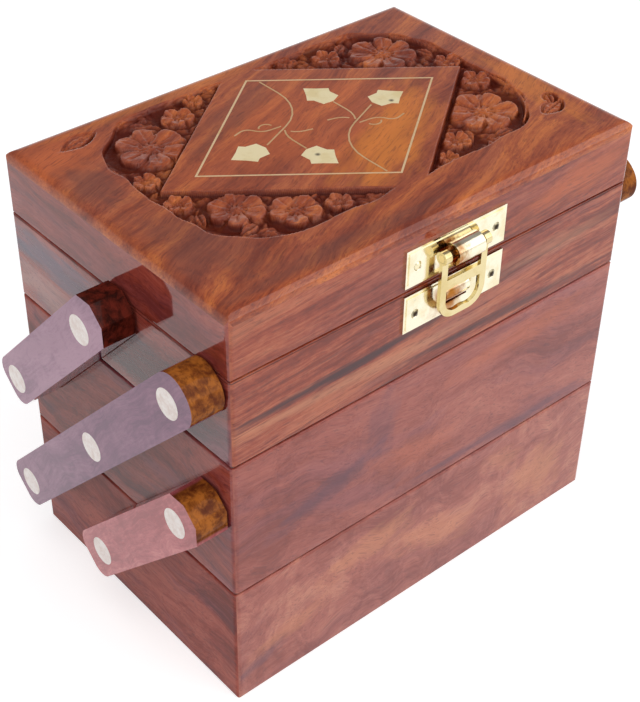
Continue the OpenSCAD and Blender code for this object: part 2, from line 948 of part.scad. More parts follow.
module lid_board(place) {
    difference() {
        lid_rim(place);
        if (place == "front") nail_bores(upper_nail_z);
        if (place == "rear") leaf_bores(1);
    }
}

module base_floor() {
    color("peru")
        floor_panel(0, base_floor_t);
}

module middle_floor() {
    color("peru")
        floor_panel(mid_z, tray_floor_t);
}

module top_floor() {
    color("peru")
        floor_panel(top_z, tray_floor_t);
}

module base_lining() {
    color("darkred")
        lining(base_floor_t);
}

module middle_lining() {
    color("darkred")
        lining(mid_z + tray_floor_t);
}

module top_lining() {
    color("darkred")
        lining(top_z + tray_floor_t);
}

module middle_divider() {
    z = mid_z + tray_floor_t + lining_t;
    color("saddlebrown")
        divider(0, z, mid_z + mid_h - divider_drop - z);
}

module top_dividers() {
    z = top_z + tray_floor_t + lining_t;
    color("saddlebrown")
        for (x = [-in_w / 6, in_w / 6])
            divider(x, z, rim_z - divider_drop - z);
}

module inlay_diamond() {
    inlay_level()
        linear_extrude(inlay_t + inlay_proud)
            border_line();
}

module inlay_vines() {
    inlay_level()
        both_halves()
            vine(inlay_t + inlay_proud);
}

module inlay_leaves() {
    inlay_level()
        both_halves()
            leaf_pair(inlay_t + inlay_proud);
}

module hinge_tray_leaves() {
    side = hinge_knuckle + knuckle_gap;
    color("khaki")
        at_hinges()
            hinge_leaf(-1, [-side, side], hinge_pin_r + screw_fit);
}

module hinge_lid_leaves() {
    color("khaki")
        at_hinges()
            hinge_leaf(1, [0], hinge_pin_r + hinge_play);
}

module hinge_pins() {
    color("darkgoldenrod")
        at_hinges()
            across(hinge_pin_r, hinge_l);
}

base_board("front");  // base_front_board
base_board("rear");  // base_rear_board
base_board("left");  // base_left_board
base_board("right");  // base_right_board
base_floor();
base_lining();
screw_set(base_pivots);  // base_pivot_screws
washer_set(base_pivots);  // base_washers
middle_board("front");  // middle_front_board
middle_board("rear");  // middle_rear_board
middle_board("left");  // middle_left_board
middle_board("right");  // middle_right_board
middle_floor();
middle_lining();
middle_divider();
screw_set(middle_pivots);  // middle_pivot_screws
washer_set(middle_pivots);  // middle_washers
top_board("front");  // top_front_board
top_board("rear");  // top_rear_board
top_board("left");  // top_left_board
top_board("right");  // top_right_board
top_floor();
top_lining();
top_dividers();
screw_set(top_pivots);  // top_pivot_screws
washer_set(top_pivots);  // top_washers
long_arm(long_front);  // long_arm_left
mirror([1, 0, 0]) long_arm(long_front - right_trim);  // long_arm_right
upper_arm();  // upper_arm_left
mirror([1, 0, 0]) upper_arm();  // upper_arm_right
lower_arm(base_pivots[0][0]);  // lower_arm_left
mirror([1, 0, 0]) lower_arm(base_pivots[1][0]);  // lower_arm_right
arm_plugs(base_pivots[0][1], 3);  // long_plugs_left
mirror([1, 0, 0]) arm_plugs(base_pivots[0][1], 3);  // long_plugs_right
arm_plugs(middle_pivots[0][2], 2);  // upper_plugs_left
mirror([1, 0, 0]) arm_plugs(middle_pivots[0][2], 2);  // upper_plugs_right
arm_plugs(base_pivots[0][0], 2);  // lower_plugs_left
mirror([1, 0, 0]) arm_plugs(base_pivots[1][0], 2);  // lower_plugs_right
lid_carved_board();
lid_board("front");  // lid_front_rim
lid_board("rear");  // lid_rear_rim
lid_board("left");  // lid_left_rim
lid_board("right");  // lid_right_rim
inlay_diamond();
inlay_vines();
inlay_leaves();
latch_plate();
latch_pin();
nail_pair(upper_nail_z);  // latch_nails
hasp();
catch_plate();
nail_pair(lower_nail_z);  // catch_nails
hinge_tray_leaves();
hinge_lid_leaves();
hinge_pins();
leaf_screws(-1);  // hinge_tray_screws
leaf_screws(1);  // hinge_lid_screws
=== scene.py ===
"""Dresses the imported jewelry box: lacquered sheesham boards, a hand-carved lid, brass inlay and latch."""
import json
import math

import bpy
import numpy as np
from mathutils import Matrix, Vector


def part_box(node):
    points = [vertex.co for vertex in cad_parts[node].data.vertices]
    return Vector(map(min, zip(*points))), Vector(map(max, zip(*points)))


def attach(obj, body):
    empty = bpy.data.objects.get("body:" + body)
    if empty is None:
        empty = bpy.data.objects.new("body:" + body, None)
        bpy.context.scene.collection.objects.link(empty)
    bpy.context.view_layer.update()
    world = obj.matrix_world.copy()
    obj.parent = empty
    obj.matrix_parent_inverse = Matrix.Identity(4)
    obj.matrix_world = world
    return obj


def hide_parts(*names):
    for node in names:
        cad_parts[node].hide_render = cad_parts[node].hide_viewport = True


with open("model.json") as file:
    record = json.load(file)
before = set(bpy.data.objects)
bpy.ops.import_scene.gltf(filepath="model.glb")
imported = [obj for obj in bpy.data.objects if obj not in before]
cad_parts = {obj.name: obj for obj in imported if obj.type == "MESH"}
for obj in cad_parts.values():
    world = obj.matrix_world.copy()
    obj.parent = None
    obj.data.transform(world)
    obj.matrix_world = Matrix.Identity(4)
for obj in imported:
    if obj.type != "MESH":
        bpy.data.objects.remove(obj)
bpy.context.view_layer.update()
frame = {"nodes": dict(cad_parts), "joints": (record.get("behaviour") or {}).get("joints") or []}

MM = 0.001
UP = (0, 0, 1)
nodes = frame["nodes"]


# Places read from the frame, in millimetres

def box_mm(node):
    low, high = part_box(node)
    return Vector(low) / MM, Vector(high) / MM


def middle_mm(node):
    low, high = box_mm(node)
    return (low + high) / 2


BOARD_LOW, BOARD_HIGH = box_mm("lid_carved_board")
TOP_Z = BOARD_HIGH.z
FRONT_Y = BOARD_LOW.y
LEFT_X = BOARD_LOW.x
MOTIF = middle_mm("inlay_diamond")
JOINT_AT = {joint["name"]: Vector(joint["pos_m"]) / MM for joint in frame["joints"]}
ARM_DIRECTION = (JOINT_AT["top_tray_pivot"] - JOINT_AT["tray_lift"]).normalized()

# Heights of the joints between the tiers
LOW_SEAM = box_mm("middle_front_board")[0].z
MIDDLE_SEAM = box_mm("top_front_board")[0].z
LID_SEAM = box_mm("top_front_board")[1].z

# Lid and carving, as in the part's source, in millimetres
LID_ROUND = 3.5
CORNER_R = 1.6
CARVE_W = 124.0
CARVE_D = 80.0
CARVE_R = 26.0
CARVE_DEPTH = 2.5
DIAMOND_W = 115.0
DIAMOND_D = 88.0


# Small mesh helpers

def new_piece(name, vertices, faces, material, smooth=True):
    mesh = bpy.data.meshes.new(name)
    mesh.from_pydata([[c * MM for c in v] for v in vertices], [], faces)
    mesh.validate()
    mesh.polygons.foreach_set("use_smooth", [smooth] * len(mesh.polygons))
    mesh.update()
    piece = bpy.data.objects.new(name, mesh)
    bpy.context.scene.collection.objects.link(piece)
    mesh.materials.append(material)
    return piece


def standing_sheet(x, y, z, foot_z):
    """A grid of points closed by walls down to a flat foot. Gives its vertices, its polygons (the sheet's,
    the walls' and the foot), the sheet's own faces and the middle of each wall's foot."""
    rows, columns = x.shape
    top = np.stack([x, y, z], axis=-1).reshape(-1, 3)
    index = np.arange(rows * columns).reshape(rows, columns)
    corners = [index[:-1, :-1], index[:-1, 1:], index[1:, 1:], index[1:, :-1]]
    faces = np.stack(corners, axis=-1).reshape(-1, 4)
    loop = np.concatenate([index[0, :], index[1:, -1], index[-1, -2::-1], index[-2:0:-1, 0]])
    foot = top[loop].copy()
    foot[:, 2] = foot_z
    first = len(top)
    step = np.arange(len(loop))
    after = (step + 1) % len(loop)
    walls = np.stack([loop[after], loop[step], first + step, first + after], axis=-1)
    vertices = np.concatenate([top, foot]).tolist()
    polygons = faces.tolist() + walls.tolist() + [(first + step[::-1]).tolist()]
    return vertices, polygons, faces, (foot + foot[after]) / 2


# Node helpers

# A noise strays about a quarter from its middle, so a warp is this many times stronger
WARP_GAIN = 4

# A patch is full inside one share of its reach and gone outside the other. Its edge has waves of about two
# thirds of its reach, written in thousandths
PATCH_FULL = 0.35
PATCH_GONE = 1.25
PATCH_WAVE = 650

# Wear and a painted highlight on the upright corners, in millimetres from the corner
CORNER_PALE_FULL = 0.2
CORNER_PALE_GONE = 1.2
CORNER_PALE_WAVE = 3.5
CORNER_PALE_RAGGED = 2.4
CORNER_PALE_STRENGTH = 0.5


class Tree:
    """Builds one material's nodes with short calls."""

    def __init__(self, name):
        self.material = bpy.data.materials.new(name)
        self.material.use_nodes = True
        self.nodes = self.material.node_tree.nodes
        self.links = self.material.node_tree.links
        self.shader = self.nodes["Principled BSDF"]
        self.source = self.nodes.new("ShaderNodeTexCoord").outputs

    def add(self, kind, **settings):
        node = self.nodes.new(kind)
        for key, value in settings.items():
            setattr(node, key, value)
        return node

    def join(self, value, socket):
        """Links a node's output to a socket, or sets the socket to a plain value."""
        if isinstance(value, bpy.types.NodeSocket):
            self.links.new(value, socket)
        elif socket.type == "RGBA":
            socket.default_value = (*value, 1)
        else:
            socket.default_value = value

    def mapped(self, vector, offset=(0, 0, 0), turn=(0, 0, 0), scale=(1, 1, 1), kind="POINT"):
        """A vector scaled, turned by degrees and moved by millimetres. The kind TEXTURE undoes these."""
        node = self.add("ShaderNodeMapping", vector_type=kind)
        self.join(vector, node.inputs["Vector"])
        node.inputs["Location"].default_value = [c * MM for c in offset]
        node.inputs["Rotation"].default_value = [math.radians(a) for a in turn]
        node.inputs["Scale"].default_value = scale
        return node.outputs["Vector"]

    def place(self, offset=(0, 0, 0), turn=(0, 0, 0)):
        """Places on the part at rest in metres, turned and then moved."""
        return self.mapped(self.source["Object"], offset, turn)

    def stretch(self, vector, scale):
        return self.mapped(vector, scale=scale)

    def noise(self, vector, size, detail=3.0, roughness=0.55, distortion=0.0, colour=False):
        """Noise whose main features measure about size millimetres."""
        node = self.add("ShaderNodeTexNoise")
        self.join(vector, node.inputs["Vector"])
        node.inputs["Scale"].default_value = 1 / (size * MM)
        node.inputs["Detail"].default_value = detail
        node.inputs["Roughness"].default_value = roughness
        node.inputs["Distortion"].default_value = distortion
        return node.outputs["Color" if colour else "Fac"]

    def math(self, operation, a, b=0.0, clamp=False):
        node = self.add("ShaderNodeMath", operation=operation, use_clamp=clamp)
        self.join(a, node.inputs[0])
        self.join(b, node.inputs[1])
        return node.outputs[0]

    def weigh(self, value, weight):
        """How far a noise is from its middle, times weight."""
        return self.math("MULTIPLY", self.math("SUBTRACT", value, 0.5), weight)

    def band(self, value, low, high, kind="SMOOTHSTEP"):
        """0 below low, 1 above high, rising between them. Low may be above high."""
        node = self.add("ShaderNodeMapRange", interpolation_type=kind)
        self.join(value, node.inputs["Value"])
        node.inputs["From Min"].default_value = low
        node.inputs["From Max"].default_value = high
        return node.outputs["Result"]

    def vector_math(self, operation, a, b, result="Vector"):
        node = self.add("ShaderNodeVectorMath", operation=operation)
        self.join(a, node.inputs[0])
        self.join(b, node.inputs[1])
        return node.outputs[result]

    def length(self, vector):
        node = self.add("ShaderNodeVectorMath", operation="LENGTH")
        self.join(vector, node.inputs[0])
        return node.outputs["Value"]

    def facing(self, direction):
        """1 where the surface faces a direction, 0 where it faces across it, -1 where it faces away."""
        return self.vector_math("DOT_PRODUCT", self.source["Normal"], direction, "Value")

    def warp(self, vector, size, reach):
        """Coordinates pushed about by some reach millimetres, in waves of size millimetres."""
        push = self.noise(vector, size, detail=2, colour=True)
        push = self.vector_math("SUBTRACT", push, (0.5, 0.5, 0.5))
        push = self.vector_math("MULTIPLY", push, (WARP_GAIN * reach * MM,) * 3)
        return self.vector_math("ADD", vector, push)

    def patch(self, centre, reach, turn=(0, 0, 0), ragged=1.0):
        """1 inside an egg-shaped place of the part, 0 outside, with a ragged edge."""
        inside = self.mapped(self.source["Object"], centre, turn, [c * MM for c in reach], "TEXTURE")
        edge = self.weigh(self.noise(inside, PATCH_WAVE, detail=3), 2 * ragged)
        return self.band(self.math("ADD", self.length(inside), edge), PATCH_GONE, PATCH_FULL)

    def ramp(self, value, stops, colours):
        node = self.add("ShaderNodeValToRGB")
        self.join(value, node.inputs["Fac"])
        elements = node.color_ramp.elements
        while len(elements) < len(stops):
            elements.new(0.5)
        for element, position, colour in zip(elements, stops, colours):
            element.position = position
            element.color = (*colour, 1)
        return node.outputs["Color"]

    def mix(self, factor, a, b):
        """Colour a where factor is 0, and b where it is 1."""
        node = self.add("ShaderNodeMix", data_type="RGBA")
        sockets = [s for s in node.inputs if s.enabled]
        for socket, value in zip(sockets, (factor, a, b)):
            self.join(value, socket)
        return next(s for s in node.outputs if s.enabled)

    def bump(self, height, depth, strength):
        """Bump of depth millimetres."""
        node = self.add("ShaderNodeBump")
        self.join(height, node.inputs["Height"])
        node.inputs["Distance"].default_value = depth * MM
        node.inputs["Strength"].default_value = strength
        return node.outputs["Normal"]

    def height_below(self, level):
        """How many metres the surface lies below a level given in millimetres."""
        split = self.add("ShaderNodeSeparateXYZ")
        self.join(self.source["Object"], split.inputs[0])
        return self.math("SUBTRACT", level * MM, split.outputs["Z"])

    def corner_wear_and_highlight(self, where):
        """How far the box's upright corners are painted pale, partly as rubbed wear and partly as a painted
        highlight.
        """
        split = self.add("ShaderNodeSeparateXYZ")
        self.join(self.source["Object"], split.inputs[0])
        inward = []
        for axis, half in (("X", BOARD_HIGH.x), ("Y", BOARD_HIGH.y)):
            inward.append(self.math("SUBTRACT", half * MM, self.math("ABSOLUTE", split.outputs[axis])))
        ragged = self.weigh(self.noise(where, CORNER_PALE_WAVE, detail=4), CORNER_PALE_RAGGED * MM)
        away = self.math("ADD", self.math("MAXIMUM", *inward), ragged)
        # wear and a painted highlight along the upright corners
        return self.math("MULTIPLY", self.band(away, CORNER_PALE_GONE * MM, CORNER_PALE_FULL * MM), CORNER_PALE_STRENGTH)

    def grain(self, flow, width, slim, detail, roughness=0.55, low=None, high=None):
        """Noise drawn out along X. width is a feature's width in millimetres, and slim its width over its
        length. With low and high it marks only where the noise is high."""
        layer = self.noise(self.stretch(flow, (slim, 1, 1)), width, detail, roughness)
        return layer if low is None else self.band(layer, low, high)

    def finish(self, **values):
        """Sets the shader's inputs, whose names are written with underscores, and gives the material."""
        for name, value in values.items():
            self.join(value, self.shader.inputs[name.replace("_", " ")])
        return self.material


# Layers of the wood's grain
BANDS = dict(width=6.5, slim=0.075, detail=5, roughness=0.6)
BROAD = dict(width=25, slim=0.24, detail=2)
FIBRES = dict(width=0.75, slim=0.035, detail=3, roughness=0.65)
FLECKS = dict(width=1.5, slim=0.4, detail=4, roughness=0.75)
HAZE = dict(width=16, slim=0.16, detail=4, roughness=0.6, low=0.46, high=0.62)
STREAKS = dict(width=5.2, slim=0.05, detail=4, low=0.57, high=0.70)
LINES = dict(width=1.5, slim=0.018, detail=4, roughness=0.7, low=0.52, high=0.66)
PORES = dict(width=0.45, slim=0.09, detail=2, roughness=0.5, low=0.56, high=0.68)

# How far each layer moves the tone between dark and light
BAND_WEIGHT = 2.5
BROAD_WEIGHT = 1.6
FIBRE_WEIGHT = 1.1
FLECK_WEIGHT = 0.9
CURL_WEIGHT = 3.0

# Waves of the grain's flow, in millimetres. The smaller ones push it by a share of the swirl
SWIRL_WAVE = 48
RIPPLE_WAVE = 13
RIPPLE_SHARE = 0.16

TONE_STOPS = (0.08, 0.5, 0.95)
STREAK_SHADE = 0.62
ROUGH_SPREAD = 0.14
FIBRE_HEIGHT = 0.4
GRAIN_DEPTH = 0.05

# A patch's tint: its share of the colour, its darkest shade, and how strongly the bands show in it
TINT_SHARE = 0.75
TINT_SHADE = 0.76
TINT_GRAIN = 2.2

# An arm's surface turns to end grain as it faces along the arm, and is rougher and barer there
END_FACING = (0.12, 0.32)
END_ROUGH = 0.25
END_BARE = 0.8

# The carving is painted darker between two depths in millimetres, partly as a stain in its ground and partly
# as painted shade in its recesses, and painted shade darkens it where it is steep
SHADE_FROM = 0.7
SHADE_TO = 1.8
STEEP_FACING = (0.90, 0.40)
WALL_PAINTED_SHADE = (0.120, 0.014, 0.008)
WALL_STRENGTH = 0.6
GROUND_STAIN_AND_SHADE = (0.070, 0.007, 0.004)
GROUND_STRENGTH = 0.88

# Painted shade in the joints between tiers, in millimetres from the joint, on faces that stand upright
SEAM_SHADE_FULL = 0.35
SEAM_SHADE_GONE = 0.75
SEAM_SHADE_STRENGTH = 0.8
SEAM_SHADE_COLOUR = (0.030, 0.006, 0.005)
UPRIGHT_FACING = (0.8, 0.5)


def darker(colour, factor):
    return tuple(factor * c for c in colour)


def wood_tone(t, flow, bands, fibres, contrast, figure):
    """Where the wood lies between its dark and its light, from 0 to 1."""
    broad = t.grain(flow, **BROAD)
    flecks = t.grain(flow, **FLECKS)
    curl = t.noise(t.stretch(flow, (0.8, 1, 0.55)), 11, detail=4, roughness=0.6, distortion=1.6)
    tone = t.weigh(bands, BAND_WEIGHT * contrast)
    for layer, weight in ((broad, BROAD_WEIGHT * contrast), (fibres, FIBRE_WEIGHT * contrast),
                          (curl, CURL_WEIGHT * figure), (flecks, FLECK_WEIGHT * contrast)):
        tone = t.math("ADD", tone, t.weigh(layer, weight))
    return t.math("ADD", tone, 0.5, clamp=True)


def tint_patches(t, colour, bands, patches):
    """Adds the places that have a tint of their own, with the grain running on through them. A few rows paint
    a sheen along an edge instead.
    """
    for centre, reach, turn, tint, strength in patches:
        tinted = t.mix(TINT_SHARE, colour, tint)
        light = t.math("ADD", t.weigh(bands, TINT_GRAIN), 0.5, clamp=True)
        tinted = t.mix(light, darker(tint, TINT_SHADE), tinted)
        colour = t.mix(t.math("MULTIPLY", t.patch(centre, reach, turn), strength), colour, tinted)
    return colour


def mottled_ends(t, where, dark, light):
    """End grain, mottled and with fine darker rays."""
    mottle = t.noise(t.warp(where, 6, 1.2), 4.6, detail=5, roughness=0.66)
    ends = t.mix(t.band(mottle, 0.36, 0.64), dark, light)
    rays = t.noise(t.stretch(where, (1, 1, 0.3)), 1.1, detail=3)
    return t.mix(t.math("MULTIPLY", t.band(rays, 0.5, 0.68), 0.5), ends, darker(dark, 0.6))


def paint_carving_shade(t, colour, level):
    """Paints shade, with a darker stain, on what is cut below a level in millimetres, and paints shade on
    steep walls. Also gives how bare of lacquer the carving is.
    """
    low = t.band(t.height_below(level), SHADE_FROM * MM, SHADE_TO * MM, kind="LINEAR")
    steep = t.band(t.facing(UP), *STEEP_FACING)
    # painted shade on the steep walls of the carving
    colour = t.mix(t.math("MULTIPLY", steep, WALL_STRENGTH), colour, WALL_PAINTED_SHADE)
    # painted shade in the deep ground, partly a darker stain
    colour = t.mix(t.math("MULTIPLY", low, GROUND_STRENGTH), colour, GROUND_STAIN_AND_SHADE)
    return colour, t.math("MAXIMUM", steep, low)


def paint_seam_shade(t, colour, seams):
    """Paints shade along the joints between tiers."""
    upright = t.band(t.math("ABSOLUTE", t.facing(UP)), *UPRIGHT_FACING)
    upright = t.math("MULTIPLY", upright, SEAM_SHADE_STRENGTH)
    for seam in seams:
        away = t.math("ABSOLUTE", t.height_below(seam))
        near = t.math("MULTIPLY", t.band(away, SEAM_SHADE_GONE * MM, SEAM_SHADE_FULL * MM), upright)
        # painted shade in the gap of the joint
        colour = t.mix(near, colour, SEAM_SHADE_COLOUR)
    return colour


def sheesham(name, warm, cool, turn=(0, 0, 0), offset=(0, 0, 0), streaks=0.5, lines=0.35, swirl=5.0,
             contrast=1.0, smoke=0.5, figure=0.0, patches=(), end_grain=None, cavity=None, seams=(),
             lacquer=1.0, polish=0.0, rough=0.3, pitted=0.36):
    """Lacquered sheesham whose grain runs along X after turn. warm and cool are (dark, middle, light), and
    smoke is how much of cool shows. figure adds curly grain. patches holds rows of (centre, reach, turn,
    colour, strength). end_grain is (direction, dark, light) for the ends of an arm. cavity is the height of
    an uncut surface, below which the carving gets painted shade. seams are the heights of the joints between
    tiers, where shade is painted. polish is the bare wood's own gloss, and pitted is how dark its pores are."""
    t = Tree(name)
    where = t.place(offset, turn)
    flow = t.warp(t.warp(where, SWIRL_WAVE, swirl), RIPPLE_WAVE, RIPPLE_SHARE * swirl)
    bands = t.grain(flow, **BANDS)
    fibres = t.grain(flow, **FIBRES)
    pores = t.grain(flow, **PORES)
    tone = wood_tone(t, flow, bands, fibres, contrast, figure)
    haze = t.math("MULTIPLY", t.grain(flow, **HAZE), smoke)
    dark = darker(cool[0], STREAK_SHADE)
    colour = t.mix(haze, t.ramp(tone, TONE_STOPS, warm), t.ramp(tone, TONE_STOPS, cool))
    colour = t.mix(t.math("MULTIPLY", t.grain(flow, **STREAKS), streaks), colour, dark)
    colour = tint_patches(t, colour, bands, patches)
    colour = t.mix(t.math("MULTIPLY", t.grain(flow, **LINES), lines), colour, warm[0])
    colour = t.mix(t.math("MULTIPLY", pores, pitted), colour, dark)
    roughness = t.math("ADD", t.math("MULTIPLY", bands, ROUGH_SPREAD), rough - ROUGH_SPREAD / 2)
    if end_grain:
        direction, end_dark, end_light = end_grain
        ends = t.band(t.facing(direction), *END_FACING)
        colour = t.mix(ends, colour, mottled_ends(t, where, end_dark, end_light))
        roughness = t.math("ADD", roughness, t.math("MULTIPLY", ends, END_ROUGH))
        lacquer = t.math("SUBTRACT", lacquer, t.math("MULTIPLY", ends, END_BARE))
    if cavity is not None:
        # painted shade in the carving's recesses and on its walls, partly a stain in its ground
        colour, bare = paint_carving_shade(t, colour, cavity)
        lacquer = t.math("MULTIPLY", t.math("SUBTRACT", 1.0, bare), lacquer)
    if seams:
        # upright corners painted pale: wear and a painted highlight
        colour = t.mix(t.corner_wear_and_highlight(where), colour, warm[2])
        # painted shade along the joints between tiers
        colour = paint_seam_shade(t, colour, seams)
    height = t.math("SUBTRACT", t.math("MULTIPLY", fibres, FIBRE_HEIGHT), pores)
    return t.finish(Base_Color=colour, Roughness=roughness, Normal=t.bump(height, GRAIN_DEPTH, 0.5),
                    Specular_IOR_Level=polish, Coat_Weight=lacquer, Coat_Roughness=0.06, Coat_IOR=1.47)


# Brass goes dull by these shares of red, green and blue, and brown in stains, its hollows are painted with
# shade, and its clouds spread its roughness
DULL = (0.88, 0.82, 0.66)
BROWN_BRASS = (0.380, 0.140, 0.022)
HOLLOW_PAINTED_SHADE = (0.035, 0.022, 0.012)
BRASS_SPREAD = 0.12


def brass(name, colour, rough, metallic=1.0, scratches=0.4, spots=(), stains=()):
    """Polished or brushed brass. spots holds rows of (centre, radius) painted dark as the shade in a hollow,
    and stains holds rows of (centre, reach) where the brass has gone brown."""
    t = Tree(name)
    where = t.place()
    clouds = t.noise(where, 6, detail=4)
    fine = t.noise(where, 0.6, detail=2)
    dull = tuple(c * share for c, share in zip(colour, DULL))
    shade = t.mix(t.math("MULTIPLY", t.band(clouds, 0.46, 0.66), 0.7), colour, dull)
    tarnish = t.band(t.noise(where, 1.7, detail=5, roughness=0.7), 0.60, 0.74)
    shade = t.mix(t.math("MULTIPLY", tarnish, 0.35), shade, darker(dull, 0.55))
    for centre, reach in stains:
        shade = t.mix(t.patch(centre, reach, ragged=0.8), shade, BROWN_BRASS)
    for centre, radius in spots:
        # painted shade of a hollow
        shade = t.mix(t.patch(centre, (radius,) * 3, ragged=0.1), shade, HOLLOW_PAINTED_SHADE)
    roughness = t.math("ADD", t.math("MULTIPLY", clouds, BRASS_SPREAD), rough - BRASS_SPREAD / 2)
    lines = t.noise(t.stretch(where, (0.06, 1, 1)), 0.35, detail=2)
    height = t.math("ADD", lines, t.math("MULTIPLY", fine, 0.5))
    return t.finish(Base_Color=shade, Roughness=roughness, Metallic=metallic,
                    Normal=t.bump(height, 0.03, scratches))


def plug_wood():
    """Pale, mottled wood with brown specks, for the plugs over the pivots."""
    t = Tree("plug_wood")
    where = t.place()
    mottle = t.noise(where, 2.4, detail=5, roughness=0.65)
    specks = t.band(t.noise(where, 0.35, detail=2), 0.6, 0.72)
    colour = t.ramp(mottle, (0.36, 0.60), ((0.76, 0.62, 0.55), (0.92, 0.84, 0.79)))
    colour = t.mix(t.math("MULTIPLY", specks, 0.35), colour, (0.55, 0.40, 0.32))
    return t.finish(Base_Color=colour, Roughness=0.4, Coat_Weight=0.8, Coat_Roughness=0.1,
                    Normal=t.bump(mottle, 0.05, 0.3))


def velvet():
    """Red velvet with a fine pile and a brushed nap."""
    t = Tree("velvet")
    where = t.place()
    pile = t.noise(where, 0.5, detail=2)
    nap = t.noise(t.warp(where, 30, 6), 16, detail=3)
    tone = t.math("ADD", t.math("MULTIPLY", pile, 0.5), t.math("MULTIPLY", nap, 0.5))
    colour = t.ramp(tone, (0.38, 0.62), ((0.10, 0.004, 0.008), (0.32, 0.016, 0.024)))
    return t.finish(Base_Color=colour, Roughness=0.9, Sheen_Weight=0.8, Sheen_Roughness=0.4,
                    Sheen_Tint=(0.9, 0.4, 0.4), Normal=t.bump(pile, 0.25, 0.7))


# Dark, middle and light of each wood, linear RGB
LID_WARM = ((0.200, 0.032, 0.013), (0.380, 0.082, 0.026), (0.600, 0.168, 0.040))
LID_COOL = ((0.140, 0.028, 0.019), (0.260, 0.058, 0.036), (0.360, 0.092, 0.054))
RED_WARM = ((0.190, 0.022, 0.008), (0.350, 0.062, 0.026), (0.490, 0.135, 0.060))
RED_COOL = ((0.130, 0.028, 0.026), (0.240, 0.058, 0.048), (0.330, 0.092, 0.070))
PINK_WARM = ((0.240, 0.042, 0.028), (0.370, 0.090, 0.066), (0.480, 0.145, 0.100))
PINK_COOL = ((0.160, 0.038, 0.048), (0.260, 0.068, 0.078), (0.330, 0.098, 0.105))
TAN_WARM = ((0.280, 0.055, 0.038), (0.410, 0.110, 0.080), (0.540, 0.195, 0.125))
SIDE_WARM = ((0.170, 0.024, 0.014), (0.300, 0.052, 0.034), (0.410, 0.095, 0.065))
SIDE_COOL = ((0.100, 0.028, 0.042), (0.170, 0.050, 0.072), (0.230, 0.078, 0.105))
FLOOR_WOOD = ((0.16, 0.06, 0.025), (0.34, 0.16, 0.07), (0.48, 0.25, 0.12))
# The mauves hold a painted bluish sheen over the arms' own red-brown wood
MAUVE_WITH_SHEEN = ((0.270, 0.128, 0.198), (0.365, 0.175, 0.264), (0.435, 0.225, 0.315))
MAUVE_DEEP_WITH_SHEEN = ((0.175, 0.066, 0.130), (0.232, 0.090, 0.165), (0.300, 0.133, 0.210))
ROSE = ((0.400, 0.080, 0.090), (0.530, 0.130, 0.140), (0.660, 0.210, 0.205))

# Dark and light of the arms' ends
OCHRE_END = ((0.130, 0.030, 0.008), (0.400, 0.125, 0.020))
RED_END = ((0.030, 0.006, 0.004), (0.150, 0.020, 0.011))

# Tints of the patches
ORANGE = (0.760, 0.225, 0.030)
CORAL = (0.640, 0.140, 0.036)
SMOKE = (0.175, 0.055, 0.038)
TAN = (0.620, 0.260, 0.135)
BURL = (0.680, 0.245, 0.120)
STEEL = (0.110, 0.090, 0.150)
BEIGE = (0.480, 0.240, 0.200)
SLATE = (0.075, 0.028, 0.030)
PURPLE = (0.150, 0.048, 0.080)
DARK_STREAK = (0.060, 0.014, 0.020)

# How the grain is turned on the lid and on the sides, in degrees
LID_GRAIN = (0, 0, -22)
SIDE_GRAIN = (0, 0, 90)

# Rows of centre and reach in millimetres, turn in degrees, tint and strength
LID_PATCHES = [
    ((-66, 39, TOP_Z), (18, 12, 6), (0, 0, 30), CORAL, 0.75),
    ((-67, 20, TOP_Z), (8, 13, 6), (0, 0, 0), SMOKE, 0.65),
    ((-62, -20, TOP_Z), (14, 22, 6), (0, 0, 12), SMOKE, 0.55),
    ((0, 10, TOP_Z), (44, 26, 6), (0, 0, 0), CORAL, 0.5),
    ((14, -13, TOP_Z), (38, 10, 6), (0, 0, 31), ORANGE, 1.0),
    ((68, -16, TOP_Z), (6, 26, 6), (0, 0, -6), ORANGE, 0.65),
    ((-20, 48, TOP_Z), (44, 3.5, 6), (0, 0, 0), ORANGE, 0.5),
    ((-12, 27, TOP_Z), (26, 5, 6), (0, 0, 24), SMOKE, 0.5),
    # painted greyish sheen along the lid's front rounding, not a tint of the wood
    ((-30, -46, TOP_Z), (44, 4, 6), (0, 0, 0), SMOKE, 0.55),
]
LID_FRONT_PATCHES = [
    ((54, FRONT_Y, 132), (26, 6, 6), (0, -8, 0), CORAL, 0.7),
]
TOP_FRONT_PATCHES = [
    ((-40, FRONT_Y, 107.2), (42, 6, 2.0), (0, -1.5, 0), DARK_STREAK, 1.0),
    ((-28, FRONT_Y, 102.3), (56, 6, 2.4), (0, 1, 0), TAN, 0.7),
    ((24, FRONT_Y, 97.4), (48, 6, 1.8), (0, 1, 0), DARK_STREAK, 0.8),
    ((46, FRONT_Y, 113), (30, 6, 3.5), (0, 0, 0), TAN, 0.4),
]
MIDDLE_FRONT_PATCHES = [
    ((-40, FRONT_Y, 66), (24, 6, 4.5), (0, -14, 0), PURPLE, 0.7),
    ((-22, FRONT_Y, 78), (7, 6, 14), (0, 12, 0), PURPLE, 0.5),
    # painted bluish reflection along the tray's bottom edge, above the joint
    ((30, FRONT_Y, 48.4), (44, 6, 2.4), (0, 0, 0), PURPLE, 0.75),
    ((36, FRONT_Y, 84), (30, 6, 5), (0, -4, 0), CORAL, 0.4),
    ((-10, FRONT_Y, 62), (22, 6, 6), (0, 10, 0), CORAL, 0.3),
]
